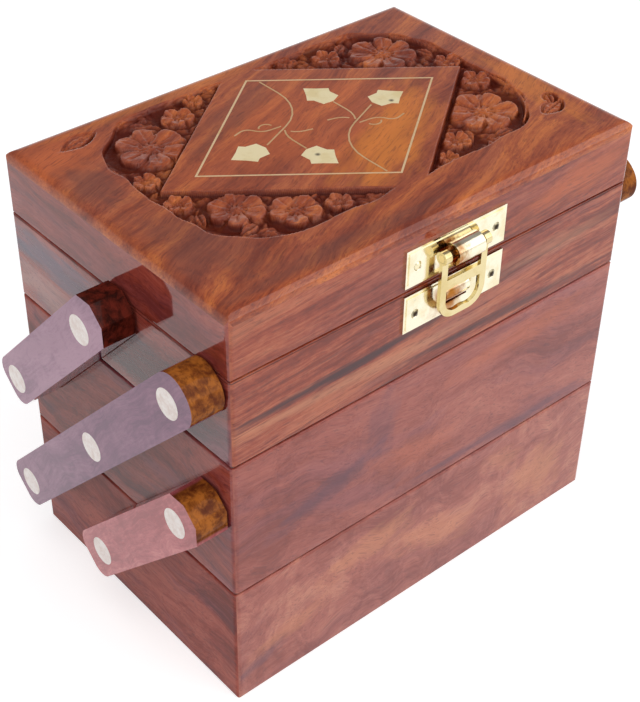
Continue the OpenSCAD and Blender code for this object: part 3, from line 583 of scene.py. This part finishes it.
BASE_FRONT_PATCHES = [
    ((-24, FRONT_Y, 32), (20, 6, 6), (0, -8, 0), BURL, 0.8),
    ((4, FRONT_Y, 20), (20, 6, 7), (0, 16, 0), BURL, 0.7),
    ((52, FRONT_Y, 18), (14, 6, 12), (0, 0, 0), BURL, 0.85),
    ((34, FRONT_Y, 34), (10, 6, 5), (0, 20, 0), BURL, 0.5),
    ((-55, FRONT_Y, 18), (16, 6, 4), (0, -12, 0), BURL, 0.6),
    ((-68, FRONT_Y, 11), (12, 6, 2.5), (0, -20, 0), PURPLE, 0.6),
]
TOP_SIDE_PATCHES = [
    ((LEFT_X, 30, 114), (6, 40, 6), (0, 0, 0), STEEL, 0.9),
    ((LEFT_X, 38, 102), (6, 24, 5.5), (0, 0, 0), BEIGE, 0.8),
    ((LEFT_X, -20, 103), (6, 34, 10), (0, 0, 0), SLATE, 0.85),
]


def arm_wood(name, warm, cool, end, offset, streaks):
    """Wood with its grain along the arm and end grain at the arm's ends."""
    lean = math.degrees(math.atan2(ARM_DIRECTION.z, -ARM_DIRECTION.y))
    return sheesham(name, warm, cool, turn=(lean, 0, 90), offset=offset, streaks=streaks, lines=0.12,
                    contrast=1.1, smoke=0.45, figure=0.4, end_grain=(tuple(ARM_DIRECTION), *end),
                    pitted=0.12)


wood = {
    "lid_top": sheesham("lid_top", LID_WARM, LID_COOL, turn=LID_GRAIN, offset=(12, 7, 31), streaks=0.4,
                        lines=0.3, swirl=3, contrast=0.8, patches=LID_PATCHES),
    "carved": sheesham("carved", LID_WARM, LID_COOL, turn=LID_GRAIN, offset=(12, 7, 31), streaks=0.15,
                       lines=0.2, swirl=3, contrast=0.8, cavity=TOP_Z, lacquer=0.5, polish=0.1, rough=0.45,
                       pitted=0.2),
    "lid_front": sheesham("lid_front", RED_WARM, RED_COOL, offset=(3, 0, 8), turn=(0, 3, 0), streaks=0.5,
                          lines=0.5, swirl=1.4, smoke=0.35, patches=LID_FRONT_PATCHES, seams=(LID_SEAM,)),
    "lid_side": sheesham("lid_side", SIDE_WARM, SIDE_COOL, turn=SIDE_GRAIN, offset=(0, 0, 5), streaks=0.3,
                         lines=0.25, contrast=0.7, smoke=0.3, seams=(LID_SEAM,)),
    "top_front": sheesham("top_front", RED_WARM, RED_COOL, offset=(55, 0, 2), turn=(0, 3, 0), streaks=0.75,
                          lines=0.85, swirl=1.4, contrast=1.25, smoke=0.8, patches=TOP_FRONT_PATCHES,
                          seams=(MIDDLE_SEAM, LID_SEAM)),
    "top_side": sheesham("top_side", SIDE_WARM, SIDE_COOL, turn=SIDE_GRAIN, offset=(9, 4, 0), smoke=0.8,
                         patches=TOP_SIDE_PATCHES, lacquer=0.75, polish=0.1, rough=0.16,
                         seams=(MIDDLE_SEAM, LID_SEAM)),
    "middle_front": sheesham("middle_front", PINK_WARM, PINK_COOL, offset=(21, 2, 6), turn=(0, -6, 0),
                             streaks=0.15, lines=0.1, swirl=6, contrast=0.65, smoke=0.6, figure=0.15,
                             patches=MIDDLE_FRONT_PATCHES, seams=(LOW_SEAM, MIDDLE_SEAM)),
    "middle_side": sheesham("middle_side", SIDE_WARM, SIDE_COOL, turn=SIDE_GRAIN, offset=(31, 4, 0),
                            smoke=0.6, lacquer=0.7, seams=(LOW_SEAM, MIDDLE_SEAM)),
    "base_front": sheesham("base_front", TAN_WARM, PINK_COOL, offset=(80, 3, 44), turn=(0, 3, 0),
                           streaks=0.1, lines=0.1, swirl=8, contrast=0.65, smoke=0.25, figure=0.5,
                           patches=BASE_FRONT_PATCHES, seams=(LOW_SEAM,)),
    "base_side": sheesham("base_side", SIDE_WARM, SIDE_COOL, turn=SIDE_GRAIN, offset=(71, 4, 0),
                          streaks=0.3, lacquer=0.45, seams=(LOW_SEAM,)),
    "floor": sheesham("floor_wood", FLOOR_WOOD, FLOOR_WOOD, offset=(5, 15, 0), streaks=0.15, lacquer=0.3,
                      rough=0.45),
    "divider": sheesham("divider_wood", FLOOR_WOOD, FLOOR_WOOD, turn=SIDE_GRAIN, offset=(45, 15, 6),
                        streaks=0.15, contrast=0.7, lacquer=0.3, rough=0.45),
    "arm_upper": arm_wood("arm_upper", MAUVE_WITH_SHEEN, MAUVE_DEEP_WITH_SHEEN, RED_END, (4, 4, 1), 0.0),
    "arm_long": arm_wood("arm_long", MAUVE_DEEP_WITH_SHEEN, MAUVE_WITH_SHEEN, OCHRE_END, (40, 4, 9), 0.0),
    "arm_lower": arm_wood("arm_lower", ROSE, ROSE, OCHRE_END, (90, 3, 3), 0.25),
}


def nail_hole_shade(node, right_only):
    """Painted shade of a hollow in the middle of a plate's nail heads, fading out towards their rims."""
    low, high = box_mm(node)
    radius = (high.z - low.z) / 2
    across = (high.x - radius,) if right_only else (low.x + radius, high.x - radius)
    return [(Vector((x, low.y, (low.z + high.z) / 2)), 1.15 * radius) for x in across]


# dark spots painted as the shade in holes in the leaves and in the nail heads
LEAF_HOLE_SHADE = [(MOTIF + Vector(at), 1.0) for at in ((-11.7, -12.5, 0), (25.9, -2.6, 0))]
NAIL_HOLE_SHADE = nail_hole_shade("latch_nails", True) + nail_hole_shade("catch_nails", False)
PIN_AT = middle_mm("latch_pin")
TONGUE_AT = Vector((PIN_AT.x, box_mm("catch_plate")[0].y, middle_mm("catch_plate").z))
STAINS = [
    (PIN_AT + Vector((-3.8, 0, -1.5)), (4.2, 6, 5)),
    (TONGUE_AT + Vector((-2.6, 1, -1.2)), (6.0, 8, 7.5)),
]

plate_metal = brass("plate_metal", (0.89, 0.83, 0.64), 0.16, stains=STAINS)
hasp_metal = brass("hasp_metal", (0.74, 0.62, 0.34), 0.16)
hinge_metal = brass("hinge_metal", (0.88, 0.80, 0.54), 0.16)
nail_metal = brass("nail_metal", (0.82, 0.74, 0.50), 0.2, spots=NAIL_HOLE_SHADE)
pin_metal = brass("pin_metal", (0.85, 0.70, 0.38), 0.22)
line_metal = brass("line_metal", (0.74, 0.52, 0.29), 0.45, metallic=0.2, scratches=0.2)
vine_metal = brass("vine_metal", (0.62, 0.39, 0.19), 0.45, metallic=0.2, scratches=0.2)
leaf_metal = brass("leaf_metal", (0.88, 0.75, 0.45), 0.45, metallic=0.2, scratches=0.2, spots=LEAF_HOLE_SHADE)
plug_material = plug_wood()
velvet_material = velvet()


# Materials and soft edges of the CAD nodes

WOOD_EDGE = 0.4
METAL_EDGE = 0.12
BEVEL_ABOVE = 65


def paint(node, material):
    slots = nodes[node].material_slots
    if len(slots) == 0:
        nodes[node].data.materials.append(material)
        slots = nodes[node].material_slots
    for slot in slots:
        slot.material = material


def smooth_group(name, limit):
    """A node group that shades edges smooth up to an angle of limit degrees and keeps the others sharp."""
    group = bpy.data.node_groups.new(name, "GeometryNodeTree")
    group.is_modifier = True
    for direction in ("INPUT", "OUTPUT"):
        group.interface.new_socket("Geometry", in_out=direction, socket_type="NodeSocketGeometry")
    start = group.nodes.new("NodeGroupInput")
    end = group.nodes.new("NodeGroupOutput")
    merge = group.nodes.new("GeometryNodeMergeByDistance")
    merge.inputs["Distance"].default_value = 0.001 * MM
    faces = group.nodes.new("GeometryNodeSetShadeSmooth")
    angle = group.nodes.new("GeometryNodeInputMeshEdgeAngle")
    sharp = group.nodes.new("ShaderNodeMath")
    sharp.operation = "GREATER_THAN"
    sharp.inputs[1].default_value = math.radians(limit)
    edges = group.nodes.new("GeometryNodeSetShadeSmooth")
    edges.domain = "EDGE"
    edges.inputs["Shade Smooth"].default_value = False
    group.links.new(start.outputs[0], merge.inputs[0])
    group.links.new(merge.outputs[0], faces.inputs["Geometry"])
    group.links.new(angle.outputs["Unsigned Angle"], sharp.inputs[0])
    group.links.new(faces.outputs["Geometry"], edges.inputs["Geometry"])
    group.links.new(sharp.outputs[0], edges.inputs["Selection"])
    group.links.new(edges.outputs["Geometry"], end.inputs[0])
    return group


SMOOTH = smooth_group("smooth_shading", 36)
ROUND_SMOOTH = smooth_group("round_shading", 60)


def soften(node, width=0.0, shading=SMOOTH):
    """Shades a CAD node's curved faces smooth, and rounds its sharp edges by some width."""
    modifiers = nodes[node].modifiers
    if width:
        bevel = modifiers.new("soft_edges", "BEVEL")
        bevel.width = width * MM
        bevel.segments = 3
        bevel.limit_method = "ANGLE"
        bevel.angle_limit = math.radians(BEVEL_ABOVE)
    modifiers.new("smooth_shading", "NODES").node_group = shading
    weighted = modifiers.new("flat_faces", "WEIGHTED_NORMAL")
    weighted.keep_sharp = True


for tier in ("base", "middle", "top"):
    for place in ("front", "rear"):
        paint(f"{tier}_{place}_board", wood[f"{tier}_front"])
    for place in ("left", "right"):
        paint(f"{tier}_{place}_board", wood[f"{tier}_side"])
    paint(f"{tier}_floor", wood["floor"])
    paint(f"{tier}_pivot_screws", pin_metal)
    paint(f"{tier}_washers", pin_metal)
for place in ("front", "rear"):
    paint(f"lid_{place}_rim", wood["lid_front"])
for place in ("left", "right"):
    paint(f"lid_{place}_rim", wood["lid_side"])
    for arm in ("long", "upper", "lower"):
        paint(f"{arm}_arm_{place}", wood[f"arm_{arm}"])
        soften(f"{arm}_arm_{place}", WOOD_EDGE, SMOOTH if arm == "upper" else ROUND_SMOOTH)
        paint(f"{arm}_plugs_{place}", plug_material)
        soften(f"{arm}_plugs_{place}")
for node in ("middle_divider", "top_dividers"):
    paint(node, wood["divider"])
    soften(node, WOOD_EDGE)
paint("inlay_leaves", leaf_metal)
paint("inlay_diamond", line_metal)
paint("inlay_vines", vine_metal)
for node, metal in (("latch_plate", plate_metal), ("catch_plate", plate_metal), ("hasp", hasp_metal),
                    ("hinge_tray_leaves", hinge_metal), ("hinge_lid_leaves", hinge_metal)):
    paint(node, metal)
    soften(node, METAL_EDGE)
for node in ("latch_nails", "catch_nails"):
    paint(node, nail_metal)
    soften(node)
for node in ("latch_pin", "hinge_pins", "hinge_tray_screws", "hinge_lid_screws"):
    paint(node, pin_metal)
    soften(node)


# The carved lid board, as a relief on a grid of lines

# Step of the grid over the carving, and how far the fine grid goes past the carved field
GRID_STEP = 0.33
GRID_PAST = 5
GRID_PAST_REAR = 1

# Heights over the carving's ground, the width over which an edge rises to them, the width of a vein, the step
# from one row of fanned leaves to the next, and the depth of the cuts in the plain lid
PETAL_HEIGHT = 2.35
BOSS_HEIGHT = 2.2
LEAF_HEIGHT = 2.2
STEM_HEIGHT = 2.35
EDGE_WIDTH = 0.5
VEIN_WIDTH = 0.35
FAN_STEP = 4.2
CUT_DEPTH = 1.9

# Rows of a flower's middle from the motif's middle, its radius, its petals and its turn
FLOWERS = [
    ((-45.2, 21.6), 11.3, 6, 10), ((-28.7, 31.1), 5.4, 5, 20), ((-19.4, 36.3), 3.6, 5, 0),
    ((45.6, 22.8), 11.2, 7, 0), ((29.6, 31.8), 5.0, 5, 0), ((57.8, 6.0), 4.6, 5, 15),
    ((43.4, -23.6), 11.3, 6, 25), ((55.8, -8.0), 5.4, 5, 0), ((25.2, -31.0), 5.0, 5, 10),
    ((16.8, -36.4), 3.4, 5, 30),
    ((-46.4, -19.4), 8.6, 6, 0), ((-34.4, -29.8), 7.8, 5, 20), ((-57.0, -7.4), 4.6, 5, 0),
    ((-22.6, -34.2), 4.4, 5, 0), ((-57.0, 7.4), 4.4, 5, 35), ((17.4, 37.8), 3.2, 5, 12),
]
# Rows of a leaf's stem, its length, its width and its turn
LEAVES = [
    ((-34.0, 28.0), 9.0, 4.6, 65), ((-38.5, 33.0), 7.0, 3.6, 150), ((-14.5, 38.4), 6.5, 2.8, 8),
    ((34.5, 32.5), 7.5, 4.0, 30), ((22.5, 36.6), 7.0, 3.2, 175), ((57.5, 12.0), 7.5, 3.6, 100),
    ((31.5, -27.5), 8.0, 4.2, 245), ((36.0, -35.8), 8.5, 3.2, 0), ((11.5, -38.4), 6.0, 2.6, 185),
    ((-27.5, -27.0), 7.0, 3.8, 25), ((-15.6, -36.6), 8.0, 3.0, -10), ((-46.0, -28.2), 7.5, 4.0, 190),
    ((-43.5, -33.8), 7.0, 3.2, 160), ((-55.5, -14.0), 7.0, 3.4, 250), ((-38.5, -17.5), 6.0, 3.4, 30),
]
# Rows of a stem's centre and radius, the degrees where it starts and ends, and its width
RIBBONS = [
    ((36.0, -14.0), 24.9, 300, 10, 1.3), ((36.0, 14.0), 24.9, 2, 40, 1.2),
]
# Leaves cut into the plain lid round the field, in rows like the leaves'
CUTS = [
    ((-67.0, 35.4), 14.5, 5.6, 12), ((55.0, -37.0), 11.5, 6.0, 12), ((62.5, -34.4), 7.0, 4.6, 60),
]


def edge_lines(size, low, high):
    """Lines from one edge of the board to the other, close together on the rounding and the carving."""
    angles = np.radians(np.linspace(0, 90, 10))
    rounding = LID_ROUND * (1 - np.cos(angles))
    corner = CORNER_R * np.linspace(0, 1, 6)
    ends = np.unique(np.round(np.concatenate([rounding, corner]), 4))
    carved = np.linspace(low, high, round((high - low) / GRID_STEP) + 1)
    left = -size / 2 + ends
    right = size / 2 - ends
    gap_left = np.linspace(left.max(), low, 5)[1:-1]
    gap_right = np.linspace(high, right.min(), 5)[1:-1]
    lines = np.concatenate([left, gap_left, carved, gap_right, right])
    return np.unique(np.round(lines, 4))


def smooth_step(value, low, high):
    share = np.clip((value - low) / (high - low), 0, 1)
    return share * share * (3 - 2 * share)


def ridge(off, width):
    """1 on a line, falling off to both sides of it."""
    return np.exp(-(off / width) ** 2)


def ribs(u, v, slant, pitch):
    """Ribs from 0 to 1 that slant away from a leaf's middle."""
    return 0.5 + 0.5 * np.cos((u - slant * np.abs(v)) * 2 * math.pi / pitch)


def ripple(x, y, size, seed):
    """Smooth irregular waves between about -1 and 1, without any random number."""
    total = 0
    for k in range(5):
        angle = seed + 2.4 * k
        wave = (0.7 + 0.23 * k) * 2 * math.pi / size
        total = total + np.sin(wave * (x * math.cos(angle) + y * math.sin(angle)) + 1.7 * k * seed)
    return total / 3


def field_depth(x, y):
    """Distance inwards from the edge of the carved field, negative outside it."""
    qx = np.abs(x) - (CARVE_W / 2 - CARVE_R)
    qy = np.abs(y) - (CARVE_D / 2 - CARVE_R)
    outside = np.hypot(np.maximum(qx, 0), np.maximum(qy, 0))
    inside = np.minimum(np.maximum(qx, qy), 0)
    return CARVE_R - outside - inside


def diamond_depth(x, y):
    """Distance outwards from the edge of the diamond, negative on it."""
    a = DIAMOND_W / 2
    b = DIAMOND_D / 2
    return (np.abs(x) / a + np.abs(y) / b - 1) / math.hypot(1 / a, 1 / b)


def local(x, y, at, turn):
    """Coordinates about a carved element, its axis along +X."""
    c = math.cos(math.radians(turn))
    s = math.sin(math.radians(turn))
    dx = x - at[0]
    dy = y - at[1]
    return c * dx + s * dy, c * dy - s * dx


def flower(x, y, at, radius, count, turn):
    """Height over the ground of a flower with veined petals round a ringed boss. Distances are shares of
    its radius, and beat is 1 on a petal's middle and 0 between petals."""
    u, v = local(x, y, at, turn)
    distance = np.hypot(u, v) / radius
    angle = np.arctan2(v, u) + 0.10 * np.sin(2 * np.arctan2(v, u) + turn)
    beat = np.abs(np.cos(count * angle / 2))
    rim = 0.60 + 0.40 * beat ** 0.5
    edge = smooth_step((rim - distance) * radius, 0, EDGE_WIDTH)
    dish = 0.66 + 0.34 * np.clip(distance / 0.75, 0, 1) ** 1.6 - 0.14 * smooth_step(distance, 0.86, 1.0)
    tilt = 1 + 0.10 * np.sin(count * angle)
    notch = 0.20 + 0.30 * smooth_step(distance, 0.45, 0.95)
    split = 1 - 0.88 * smooth_step(notch - beat, 0, 0.16) * smooth_step(distance, 0.28, 0.45)
    crease = smooth_step(beat, 0.965, 1.0) * smooth_step(distance, 0.35, 0.45)
    crease = crease * smooth_step(distance, 0.9, 0.7)
    petals = PETAL_HEIGHT * edge * dish * tilt * split * (1 - 0.22 * crease)
    boss = BOSS_HEIGHT * np.sqrt(np.clip(1 - (distance / 0.25) ** 2, 0, 1))
    ring = 1.0 * ridge((distance - 0.15) * radius, 0.35)
    pit = 0.9 * ridge(distance * radius, 0.5)
    moat = 1.5 * ridge((distance - 0.28) * radius, 0.45)
    return np.maximum(petals - moat * edge, boss - ring - pit)


def leaf(x, y, at, length, width, turn):
    """Height over the ground of a pointed leaf, starting at its stem, with a vein down its middle."""
    u, v = local(x, y, at, turn)
    share = u / length
    half = width / 2 * np.sin(math.pi * np.clip(share, 0, 1) ** 0.8) ** 0.8
    edge = smooth_step(half - np.abs(v), 0, EDGE_WIDTH) * (share > 0) * (share < 1)
    crown = 0.66 + 0.34 * np.clip(np.abs(v) / (width / 2), 0, 1)
    return edge * (LEAF_HEIGHT * crown - 0.55 * ridge(v, VEIN_WIDTH) - 0.18 * ribs(u, v, 0.9, 1.7))


def ribbon(x, y, centre, radius, start, end, width):
    """Height over the ground of a stem that follows an arc of a circle."""
    dx = x - centre[0]
    dy = y - centre[1]
    angle = np.degrees(np.arctan2(dy, dx)) % 360
    along = ((angle - start) % 360) <= ((end - start) % 360)
    off = np.abs(np.hypot(dx, dy) - radius)
    return np.where(along, STEM_HEIGHT * smooth_step(width / 2 - off, 0, EDGE_WIDTH), 0)


def foliage(x, y):
    """Height over the ground of the overlapping leaves that fan out round each flower, with a trench round
    the flower that is wider on the side away from the motif's middle."""
    best = np.full_like(x, 1e9)
    height = np.zeros_like(x)
    for at, radius, count, turn in FLOWERS:
        u, v = local(x, y, at, turn)
        away = np.hypot(u, v) - radius
        angle = np.arctan2(v, u)
        fans = np.maximum(away, 0) / FAN_STEP
        blades = np.abs(np.sin((0.75 * count + 1) * angle + 1.9 * np.floor(fans) + 0.3 * away))
        blade = 0.45 + 1.4 * blades ** 0.5 * (1 - 0.5 * (fans % 1)) - 0.3 * smooth_step(blades, 0.94, 1.0)
        outward = ((x - at[0]) * at[0] + (y - at[1]) * at[1]) / (radius * math.hypot(*at))
        outer = smooth_step(outward, 0.1, 0.8)
        blade = blade * (1 - ridge(away - 0.5, 0.9 + 1.3 * outer) * (0.55 + 0.45 * outer))
        height = np.where(away < best, blade, height)
        best = np.minimum(best, away)
    return height


def corner_cuts(x, y):
    """Depth of the leaves cut into the plain lid, one side of each cut deeper than the other."""
    depth = np.zeros_like(x)
    for at, length, width, turn in CUTS:
        u, v = local(x, y, at, turn)
        half = width / 2 * np.sin(math.pi * np.clip(u / length, 0, 1))
        inside = (half - np.abs(v)) * (u > 0) * (u < length)
        side = np.where(v < 0, 1.0, 0.55)
        outline = side * ridge(inside - 0.4, 0.5) * (half > 0.3) * (inside > -0.3)
        vein = 0.7 * ridge(v, VEIN_WIDTH) * smooth_step(inside, 0, 0.5)
        rib = 0.14 * ribs(u, v, 0.8, 2.4) * smooth_step(inside, 0, 0.6)
        depth = np.maximum(depth, CUT_DEPTH * np.maximum(outline, np.maximum(vein, rib)))
    return depth


def relief(x, y):
    """Height over the lid's uncut surface at points given from the motif's middle, and how far each point
    lies inside the carving."""
    wobble = 0.7 * ripple(x, y, 17, 1.3)
    room = np.minimum(field_depth(x, y) + wobble - 0.4, diamond_depth(x, y) + 0.1 * wobble)
    raised = foliage(x, y)
    for shape, rows in ((leaf, LEAVES), (flower, FLOWERS), (ribbon, RIBBONS)):
        for row in rows:
            raised = np.maximum(raised, shape(x, y, *row))
    ground = 0.14 * ripple(x, y, 1.7, 0.6) + 0.08 * ripple(x, y, 0.95, 2.2)
    chisel = 0.07 * ripple(x, y, 3.1, 4.1)
    sunk = smooth_step(diamond_depth(x, y) / np.where(y < 0, 1.9, 1.0), 0.1, 1.1)
    height = -CARVE_DEPTH + np.maximum(ground, raised + chisel) * sunk
    carved = np.minimum(height, 0) * smooth_step(room, 0, 0.42)
    cut = corner_cuts(x, y)
    return np.where(room <= 0, -cut, carved), np.where(cut > 0.05, np.maximum(room, 0), room)


def round_corners(x, y, size):
    """Draws the grid's corners in, so that the board's outline is round there."""
    u = np.clip(1 - (size.x / 2 - np.abs(x)) / CORNER_R, 0, 1)
    v = np.clip(1 - (size.y / 2 - np.abs(y)) / CORNER_R, 0, 1)
    round_x = x - np.sign(x) * CORNER_R * (u - u * np.sqrt(1 - v * v / 2))
    round_y = y - np.sign(y) * CORNER_R * (v - v * np.sqrt(1 - u * u / 2))
    return round_x, round_y


def rounding_drop(x, y, size):
    """How far the board's rounded edge lies under its top."""
    drop = np.zeros_like(x)
    for value, half in ((x, size.x / 2), (y, size.y / 2)):
        inward = np.clip(half - np.abs(value), 0, LID_ROUND)
        drop = np.maximum(drop, LID_ROUND - np.sqrt(LID_ROUND ** 2 - (LID_ROUND - inward) ** 2))
    return drop


def carved_board():
    """The lid's top board. Its slots hold the plain top, the carving, the front and rear, and the sides."""
    low, high = BOARD_LOW, BOARD_HIGH
    size = high - low
    xs = edge_lines(size.x, MOTIF.x - CARVE_W / 2 - GRID_PAST, MOTIF.x + CARVE_W / 2 + GRID_PAST)
    ys = edge_lines(size.y, MOTIF.y - CARVE_D / 2 - GRID_PAST, MOTIF.y + CARVE_D / 2 + GRID_PAST_REAR)
    x, y = round_corners(*np.meshgrid(xs, ys), size)
    drop = rounding_drop(x, y, size)
    height, room = relief(x - MOTIF.x, y - MOTIF.y)
    z = high.z - drop + np.where(drop < 0.001, height, 0)
    vertices, polygons, faces, wall_at = standing_sheet(x, y, z, low.z)
    piece = new_piece("carved_lid_board", vertices, polygons, wood["lid_top"])
    mesh = piece.data
    for material in (wood["carved"], wood["lid_front"], wood["lid_side"]):
        mesh.materials.append(material)
    count = len(faces)
    carved = (room > -0.3).reshape(-1)[faces].any(axis=1)
    front = np.abs(wall_at[:, 1]) / size.y > np.abs(wall_at[:, 0]) / size.x
    slots = np.zeros(len(mesh.polygons), dtype=np.int32)
    slots[:count] = np.where(carved, 1, 0)
    slots[count:-1] = np.where(front, 2, 3)
    mesh.polygons.foreach_set("material_index", slots)
    smooth = np.zeros(len(mesh.polygons), dtype=bool)
    smooth[:count] = True
    mesh.polygons.foreach_set("use_smooth", smooth)
    return piece


board = carved_board()
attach(board, "lid")
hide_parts("lid_carved_board")


# The velvet linings, as thin pads with a rolled edge and a slightly uneven nap

PAD_STEP = 2.2
PAD_ROLL = 0.7
PAD_WAVE = 0.12
PAD_RIPPLE = 31


def lining_pad(tier):
    low, high = box_mm(f"{tier}_lining")
    size = high - low
    angles = np.radians(np.linspace(0, 90, 5))
    roll = PAD_ROLL * (1 - np.cos(angles))
    edge_drop = PAD_ROLL * (1 - np.sin(angles))
    axes = []
    for length in (size.x, size.y):
        inner = np.linspace(PAD_ROLL, length - PAD_ROLL, round(length / PAD_STEP))
        axes.append(np.concatenate([roll, inner[1:-1], length - roll[::-1]]))
    x, y = np.meshgrid(*axes)
    drop = np.zeros_like(x)
    for value, length in ((x, size.x), (y, size.y)):
        inward = np.minimum(np.minimum(value, length - value), PAD_ROLL)
        drop = np.maximum(drop, np.interp(inward, roll, edge_drop))
    wave = PAD_WAVE * (1 + ripple(x, y, PAD_RIPPLE, 0.8)) / 2
    z = size.z - drop - np.clip(wave, 0, PAD_WAVE) * (drop < 0.001)
    vertices, polygons, _, _ = standing_sheet(x + low.x, y + low.y, z + low.z, low.z)
    return new_piece(f"{tier}_velvet", vertices, polygons, velvet_material)


for tier, body in (("base", "base"), ("middle", "middle_tray"), ("top", "top_tray")):
    pad = lining_pad(tier)
    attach(pad, body)
    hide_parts(f"{tier}_lining")


# Studio

# The floor's half size in millimetres, and its grey. It glows a little for the camera and in reflections,
# and the far glow is added to that between two distances in metres
FLOOR_HALF = 3000
FLOOR_GREY = 0.72
FLOOR_GLOW = 0.58
FAR_GLOW = 0.28
GLOW_FROM = 0.5
GLOW_TO = 2.5

# The world's colours up to one height and above another, as shares of the way up
HORIZON = (1, 1, 1, 1)
HORIZON_Z = 0.2
OVERHEAD = (0.34, 0.34, 0.36, 1)
OVERHEAD_Z = 0.5


def area_light(name, at, aim, size, power, colour=(1, 1, 1)):
    data = bpy.data.lights.new(name, "AREA")
    data.shape = "RECTANGLE"
    data.size, data.size_y = size
    data.energy = power
    data.color = colour
    light = bpy.data.objects.new(name, data)
    light.location = at
    light.rotation_euler = (Vector(aim) - Vector(at)).to_track_quat("-Z", "Y").to_euler()
    bpy.context.scene.collection.objects.link(light)


def studio_floor():
    """White paper that keeps the object's shadow."""
    t = Tree("floor_paper")
    path = t.add("ShaderNodeLightPath").outputs
    seen = t.math("MAXIMUM", path["Is Camera Ray"], path["Is Glossy Ray"])
    seen = t.math("MAXIMUM", seen, path["Is Transmission Ray"])
    far = t.math("MULTIPLY", t.band(t.length(t.source["Object"]), GLOW_FROM, GLOW_TO), FAR_GLOW)
    glow = t.math("MULTIPLY", seen, t.math("ADD", far, FLOOR_GLOW))
    material = t.finish(Base_Color=(FLOOR_GREY,) * 3, Roughness=0.7, Specular_IOR_Level=0.0,
                        Emission_Color=(1, 1, 1), Emission_Strength=glow)
    half = FLOOR_HALF
    square = [(-half, -half, 0), (half, -half, 0), (half, half, 0), (-half, half, 0)]
    paper = new_piece("studio_floor", square, [(0, 1, 2, 3)], material, smooth=False)


def studio_world():
    """White round the horizon, dimmer overhead."""
    world = bpy.data.worlds.new("studio")
    bpy.context.scene.world = world
    world.use_nodes = True
    tree = world.node_tree
    background = tree.nodes["Background"]
    coordinates = tree.nodes.new("ShaderNodeTexCoord")
    split = tree.nodes.new("ShaderNodeSeparateXYZ")
    tree.links.new(coordinates.outputs["Generated"], split.inputs[0])
    height = tree.nodes.new("ShaderNodeMapRange")
    tree.links.new(split.outputs["Z"], height.inputs["Value"])
    height.inputs["From Min"].default_value = HORIZON_Z
    height.inputs["From Max"].default_value = OVERHEAD_Z
    ramp = tree.nodes.new("ShaderNodeValToRGB")
    ramp.color_ramp.elements[0].color = HORIZON
    ramp.color_ramp.elements[1].color = OVERHEAD
    tree.links.new(height.outputs["Result"], ramp.inputs["Fac"])
    tree.links.new(ramp.outputs["Color"], background.inputs["Color"])


studio_floor()
studio_world()
area_light("overhead", (-0.50, -0.30, 1.05), (0, 0, 0.1), (0.9, 0.9), 4.6, (1, 0.98, 0.95))
area_light("front_softbox", (0.62, -0.84, 0.84), (0, 0, 0.09), (1.5, 1.1), 7.0)


# Camera, solved from the photograph's box edges: sizes in pixels, its place in metres

PHOTO_W = 640
PHOTO_H = 702
FOCAL_PX = 1497.5
PRINCIPAL_X = 290
PRINCIPAL_Y = 348
SENSOR = 36.0
CAMERA_AT = Vector((-0.2508, -0.2850, 0.3616))
LOOK_RIGHT = Vector((0.76845, -0.63991, 0.00187))
LOOK_AHEAD = Vector((0.50537, 0.60508, -0.61521))


def photo_camera():
    data = bpy.data.cameras.new("photo_camera")
    camera = bpy.data.objects.new("photo_camera", data)
    bpy.context.scene.collection.objects.link(camera)
    data.sensor_fit = "AUTO"
    data.sensor_width = SENSOR
    data.lens = FOCAL_PX / PHOTO_H * SENSOR
    data.shift_x = (PHOTO_W / 2 - PRINCIPAL_X) / PHOTO_H
    data.shift_y = (PRINCIPAL_Y - PHOTO_H / 2) / PHOTO_H
    ahead = LOOK_AHEAD.normalized()
    right = (LOOK_RIGHT - ahead * LOOK_RIGHT.dot(ahead)).normalized()
    turn = Matrix((right, right.cross(ahead), -ahead)).transposed()
    camera.matrix_world = Matrix.Translation(CAMERA_AT) @ turn.to_4x4()
    data.clip_start = 0.02
    data.clip_end = 20
    bpy.context.scene.camera = camera


photo_camera()
bpy.context.scene.view_settings.view_transform = "Standard"
